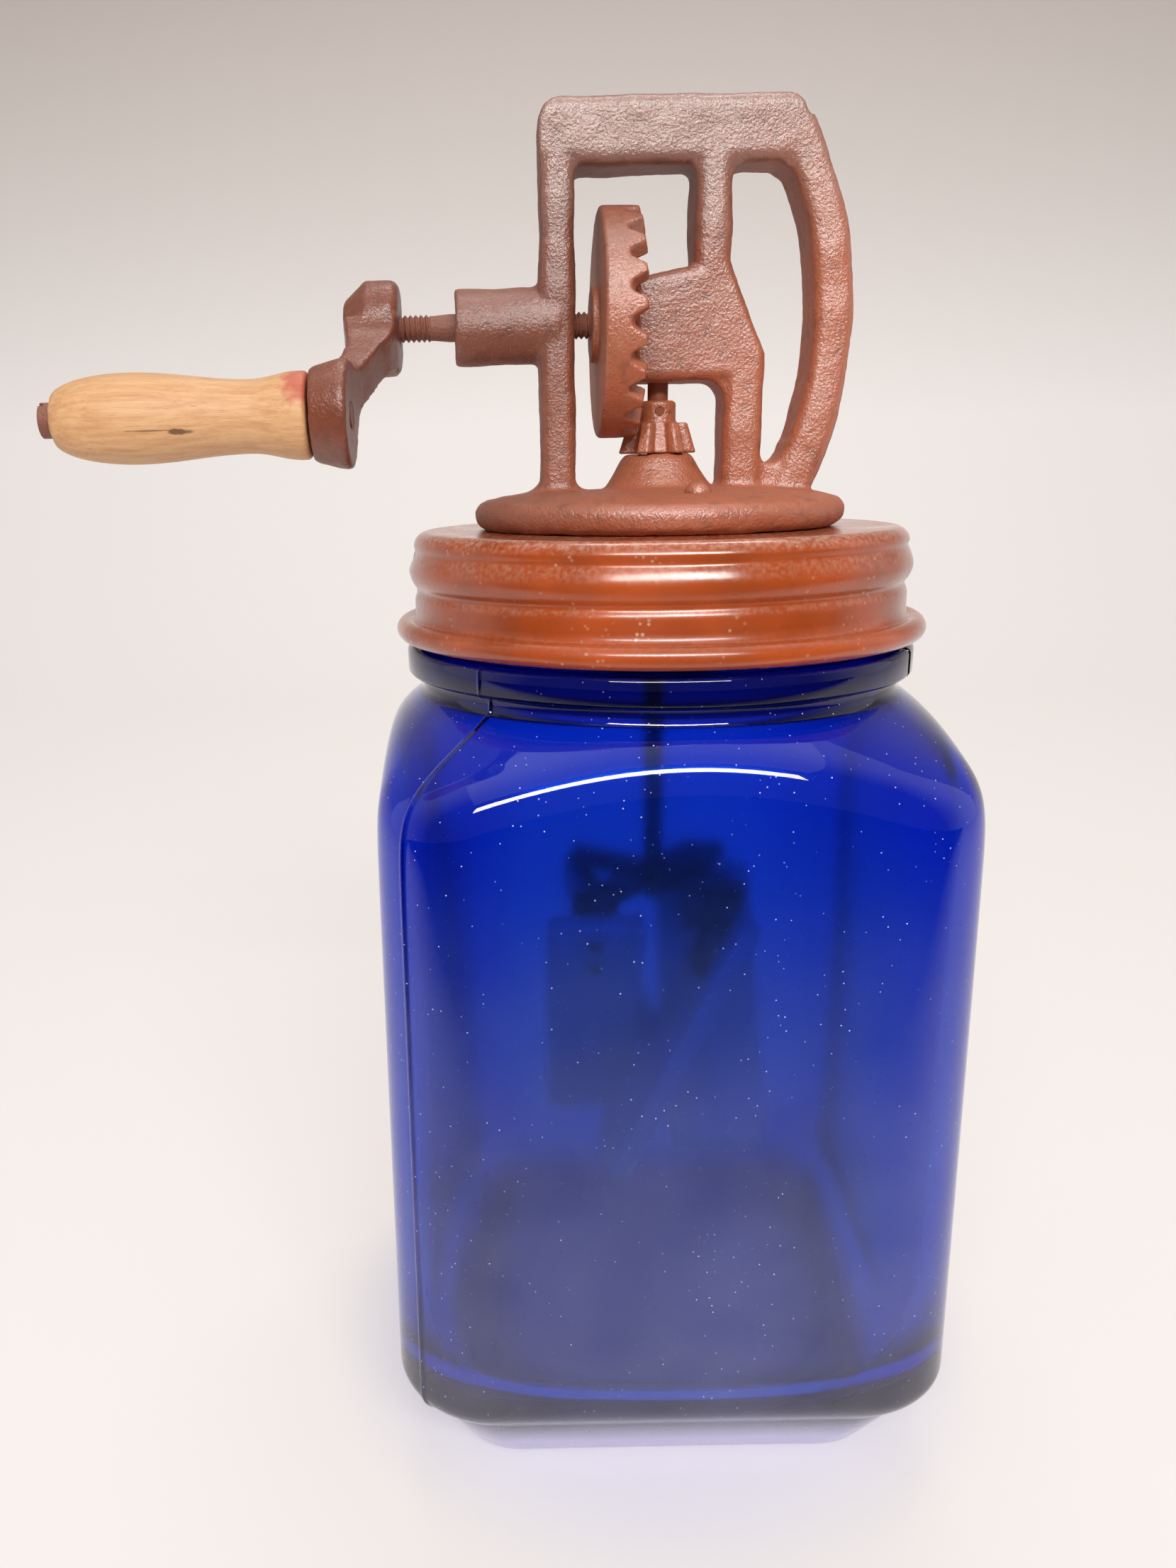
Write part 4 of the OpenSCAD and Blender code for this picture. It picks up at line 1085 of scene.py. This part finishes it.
@dataclass
class Studio:
    """Paper sweep, soft lights and the photograph's camera. Metres, degrees and photo pixels.

    A lamp is its name, place, aim, size, watts and spread. The room is a plain colour with a level for all
    rays, more for those that look at it, and less in mirrors at the front.
    """

    image: tuple[int, int] = (1659, 2212)
    focal: float = 1720.9
    middle: float = 705.5
    sensor: float = 36.0
    eye: Triple = (-0.04058, -0.31368, 0.2465)
    pitch: float = 14.68
    roll: float = 1.132
    floor: float = -0.0004
    sweep_half: float = 3.5
    sweep_bend: float = 0.6
    lamps: tuple = (
        ("softbox_key", (0.0, -1.1, 0.96), (0, 0, 0.22), (1.15, 0.2), 7.9, 120),
        ("softbox_above", (0.0, -0.3, 1.5), (0, -0.2, 0), (1.6, 1.6), 4.0, 180),
        ("backdrop_lamp", (0.2, 0.75, 1.9), (0.1, 1.45, 0.2), (1.2, 0.4), 13.0, 180))
    lamp_colour: Triple = (1.0, 0.97, 0.94)
    room: str = "#F2EEEC"
    room_level: float = 0.25
    room_seen: float = 0.55
    room_front: Span = (-0.45, 0.1)
    front_dark: float = 0.85

    def build_camera(self) -> None:
        """Make the camera from the fitted focal length, middle column, place, pitch and roll."""
        tall = self.image[1]
        lens = bpy.data.cameras.new("photo_camera")
        lens.sensor_width = self.sensor
        lens.lens = self.sensor * self.focal / tall
        lens.shift_x = (self.image[0] / 2 - self.middle) / tall
        lens.clip_start, lens.clip_end = 0.01, 20.0
        p, r = math.radians(self.pitch), math.radians(self.roll)
        ahead = Vector((0, math.cos(p), -math.sin(p)))
        right = Vector((1, 0, 0))
        down = ahead.cross(right)
        across = right * math.cos(r) + down * math.sin(r)
        below = down * math.cos(r) - right * math.sin(r)
        turn = Matrix((across, -below, -ahead)).transposed().to_4x4()
        camera = bpy.data.objects.new("photo_camera", lens)
        camera.matrix_world = Matrix.Translation(self.eye) @ turn
        bpy.context.scene.collection.objects.link(camera)
        bpy.context.scene.camera = camera

    def build_sweep(self) -> None:
        """Make the paper: flat on the floor, bent up through a quarter circle, then upright."""
        bend = arc(1.0, self.sweep_bend, self.sweep_bend, -90, 0, 24)
        path = np.vstack([[[-3.0, 0.0], [0.0, 0.0]], bend, [[1.0 + self.sweep_bend, 4.0]]])
        x = np.linspace(-self.sweep_half, self.sweep_half, 12)
        grid = np.stack(np.broadcast_arrays(x[None, :], path[:, :1], path[:, 1:] + self.floor), -1)
        rows, count = grid.shape[:2]
        ids = np.arange(rows * count).reshape(rows, count)
        faces = np.stack([ids[:-1, :-1], ids[:-1, 1:], ids[1:, 1:], ids[1:, :-1]], -1).reshape(-1, 4)
        mesh = bpy.data.meshes.new("paper_sweep")
        mesh.from_pydata(grid.reshape(-1, 3).tolist(), [], faces.tolist())
        mesh.shade_smooth()
        sweep = bpy.data.objects.new("paper_sweep", mesh)
        bpy.context.scene.collection.objects.link(sweep)
        mesh.materials.append(StudioPaper().build())

    def build_light(self) -> None:
        """Hang the lamps in a pale room that is dark in mirrors at the front."""
        for name, place, aim, size, watts, spread in self.lamps:
            lamp = bpy.data.lights.new(name, "AREA")
            lamp.shape = "RECTANGLE"
            lamp.size, lamp.size_y = size
            lamp.energy = watts
            lamp.spread = math.radians(spread)
            lamp.color = self.lamp_colour
            holder = bpy.data.objects.new(name, lamp)
            holder.location = place
            holder.rotation_euler = (Vector(aim) - Vector(place)).to_track_quat("-Z", "Y").to_euler()
            bpy.context.scene.collection.objects.link(holder)
        world = bpy.data.worlds.new("room")
        bpy.context.scene.world = world
        world.use_nodes = True
        tree = world.node_tree
        tree.nodes.clear()
        seen, mirror = ray_kinds(tree)
        lit = sums(tree, "MULTIPLY_ADD", seen, self.room_seen, self.room_level)
        way = axes(tree, add(tree, "TexCoord").outputs["Generated"])["Y"]
        front = ramp(tree, way, *self.room_front, self.front_dark, 0.0)
        open_room = sums(tree, "SUBTRACT", 1.0, sums(tree, "MULTIPLY", front, mirror))
        level = sums(tree, "MULTIPLY", lit, open_room)
        sky = add(tree, "Background", {"Color": linear(self.room), "Strength": level})
        add(tree, "OutputWorld", {"Surface": sky.outputs[0]})

    def build(self) -> None:
        """Set the stage and plain colour handling."""
        self.build_camera()
        self.build_sweep()
        self.build_light()
        bpy.context.scene.view_settings.view_transform = "Standard"


def report(pieces: list[Piece]) -> None:
    """Log each piece's name and face count."""
    for piece in pieces:
        LOG.info("%s: %d faces", piece.name, len(piece.data.polygons))


def dress_nodes(nodes: tuple[str, ...], material: Material) -> None:
    """Give CAD nodes that stay in view a finish."""
    for name in nodes:
        dress(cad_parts[name], material)


def main() -> None:
    """Build the stage and every piece, dress them, and log what was made."""
    logging.basicConfig(level=logging.INFO, format="%(name)s %(message)s")
    Studio().build()
    steel = AgedSteel().build()
    paint = CastingPaint().build()
    crank_paint = CastingPaint("brown_paint_on_crank_arm", body="#7A3F2A", rub="#8A5A47", coat=(0.4, 0.4),
                               coat_rough=0.15, specular=0.4, sand=0.7).build()
    # on the gears the fresh colour, partly painted light, reaches higher up
    gear_paint = CastingPaint("red_paint_on_gears", fade=(285.0, 335.0)).build()
    paints = {"crank_arm_cast": crank_paint, "drive_gear_cast": gear_paint, "pinion_cast": gear_paint}
    grip_wood = Timber(
        "turned_hardwood_grip", "#DBAE7F", "#C69162", "#95643C", GrainFrom.OBJECT_X, 0.46, 1.0, 16.0,
        (Mark((-106.5, -46.9, 254.4), (3.2, 2.0, 0.6), "#5F4027", 0.85),
         Mark((-112.5, -46.9, 254.7), (6.5, 2.0, 0.22), "#6B4A2E", 0.7),
         Mark((-80.2, -44.0, 265.0), (5.2, 8.0, 7.4), "#B8493C", 0.8))).build()
    board_wood = Timber("scrubbed_paddle_board", "#E8E0D2", "#D0C4B0", "#A8987F", GrainFrom.UV, 0.62,
                        3.0).build()

    jar = GlassJar().build()
    dress(jar, CobaltGlass().build())
    lid = ScrewLid().build()
    dress(lid, LidEnamel().build())
    castings = Castings().build()
    for piece in castings:
        dress(piece, paints.get(piece.name, paint))
    crank = Crank()
    shaft = crank.build_shaft()
    dress(shaft, paint)
    grip = crank.build_grip()
    dress(grip, grip_wood)
    paddles = Dasher().build()
    for piece in paddles:
        dress(piece, board_wood)
    dress_nodes(("lid_gasket",), SealRubber().build())
    dress_nodes(("grip_screw",), paint)
    dress_nodes(("frame_nuts", "pinion_pin", "dasher_shaft", "dasher_spider", "spider_nut",
                 "paddle_rivets"), steel)
    report([jar, lid, *castings, shaft, grip, *paddles])


if __name__ == "__main__":
    main()
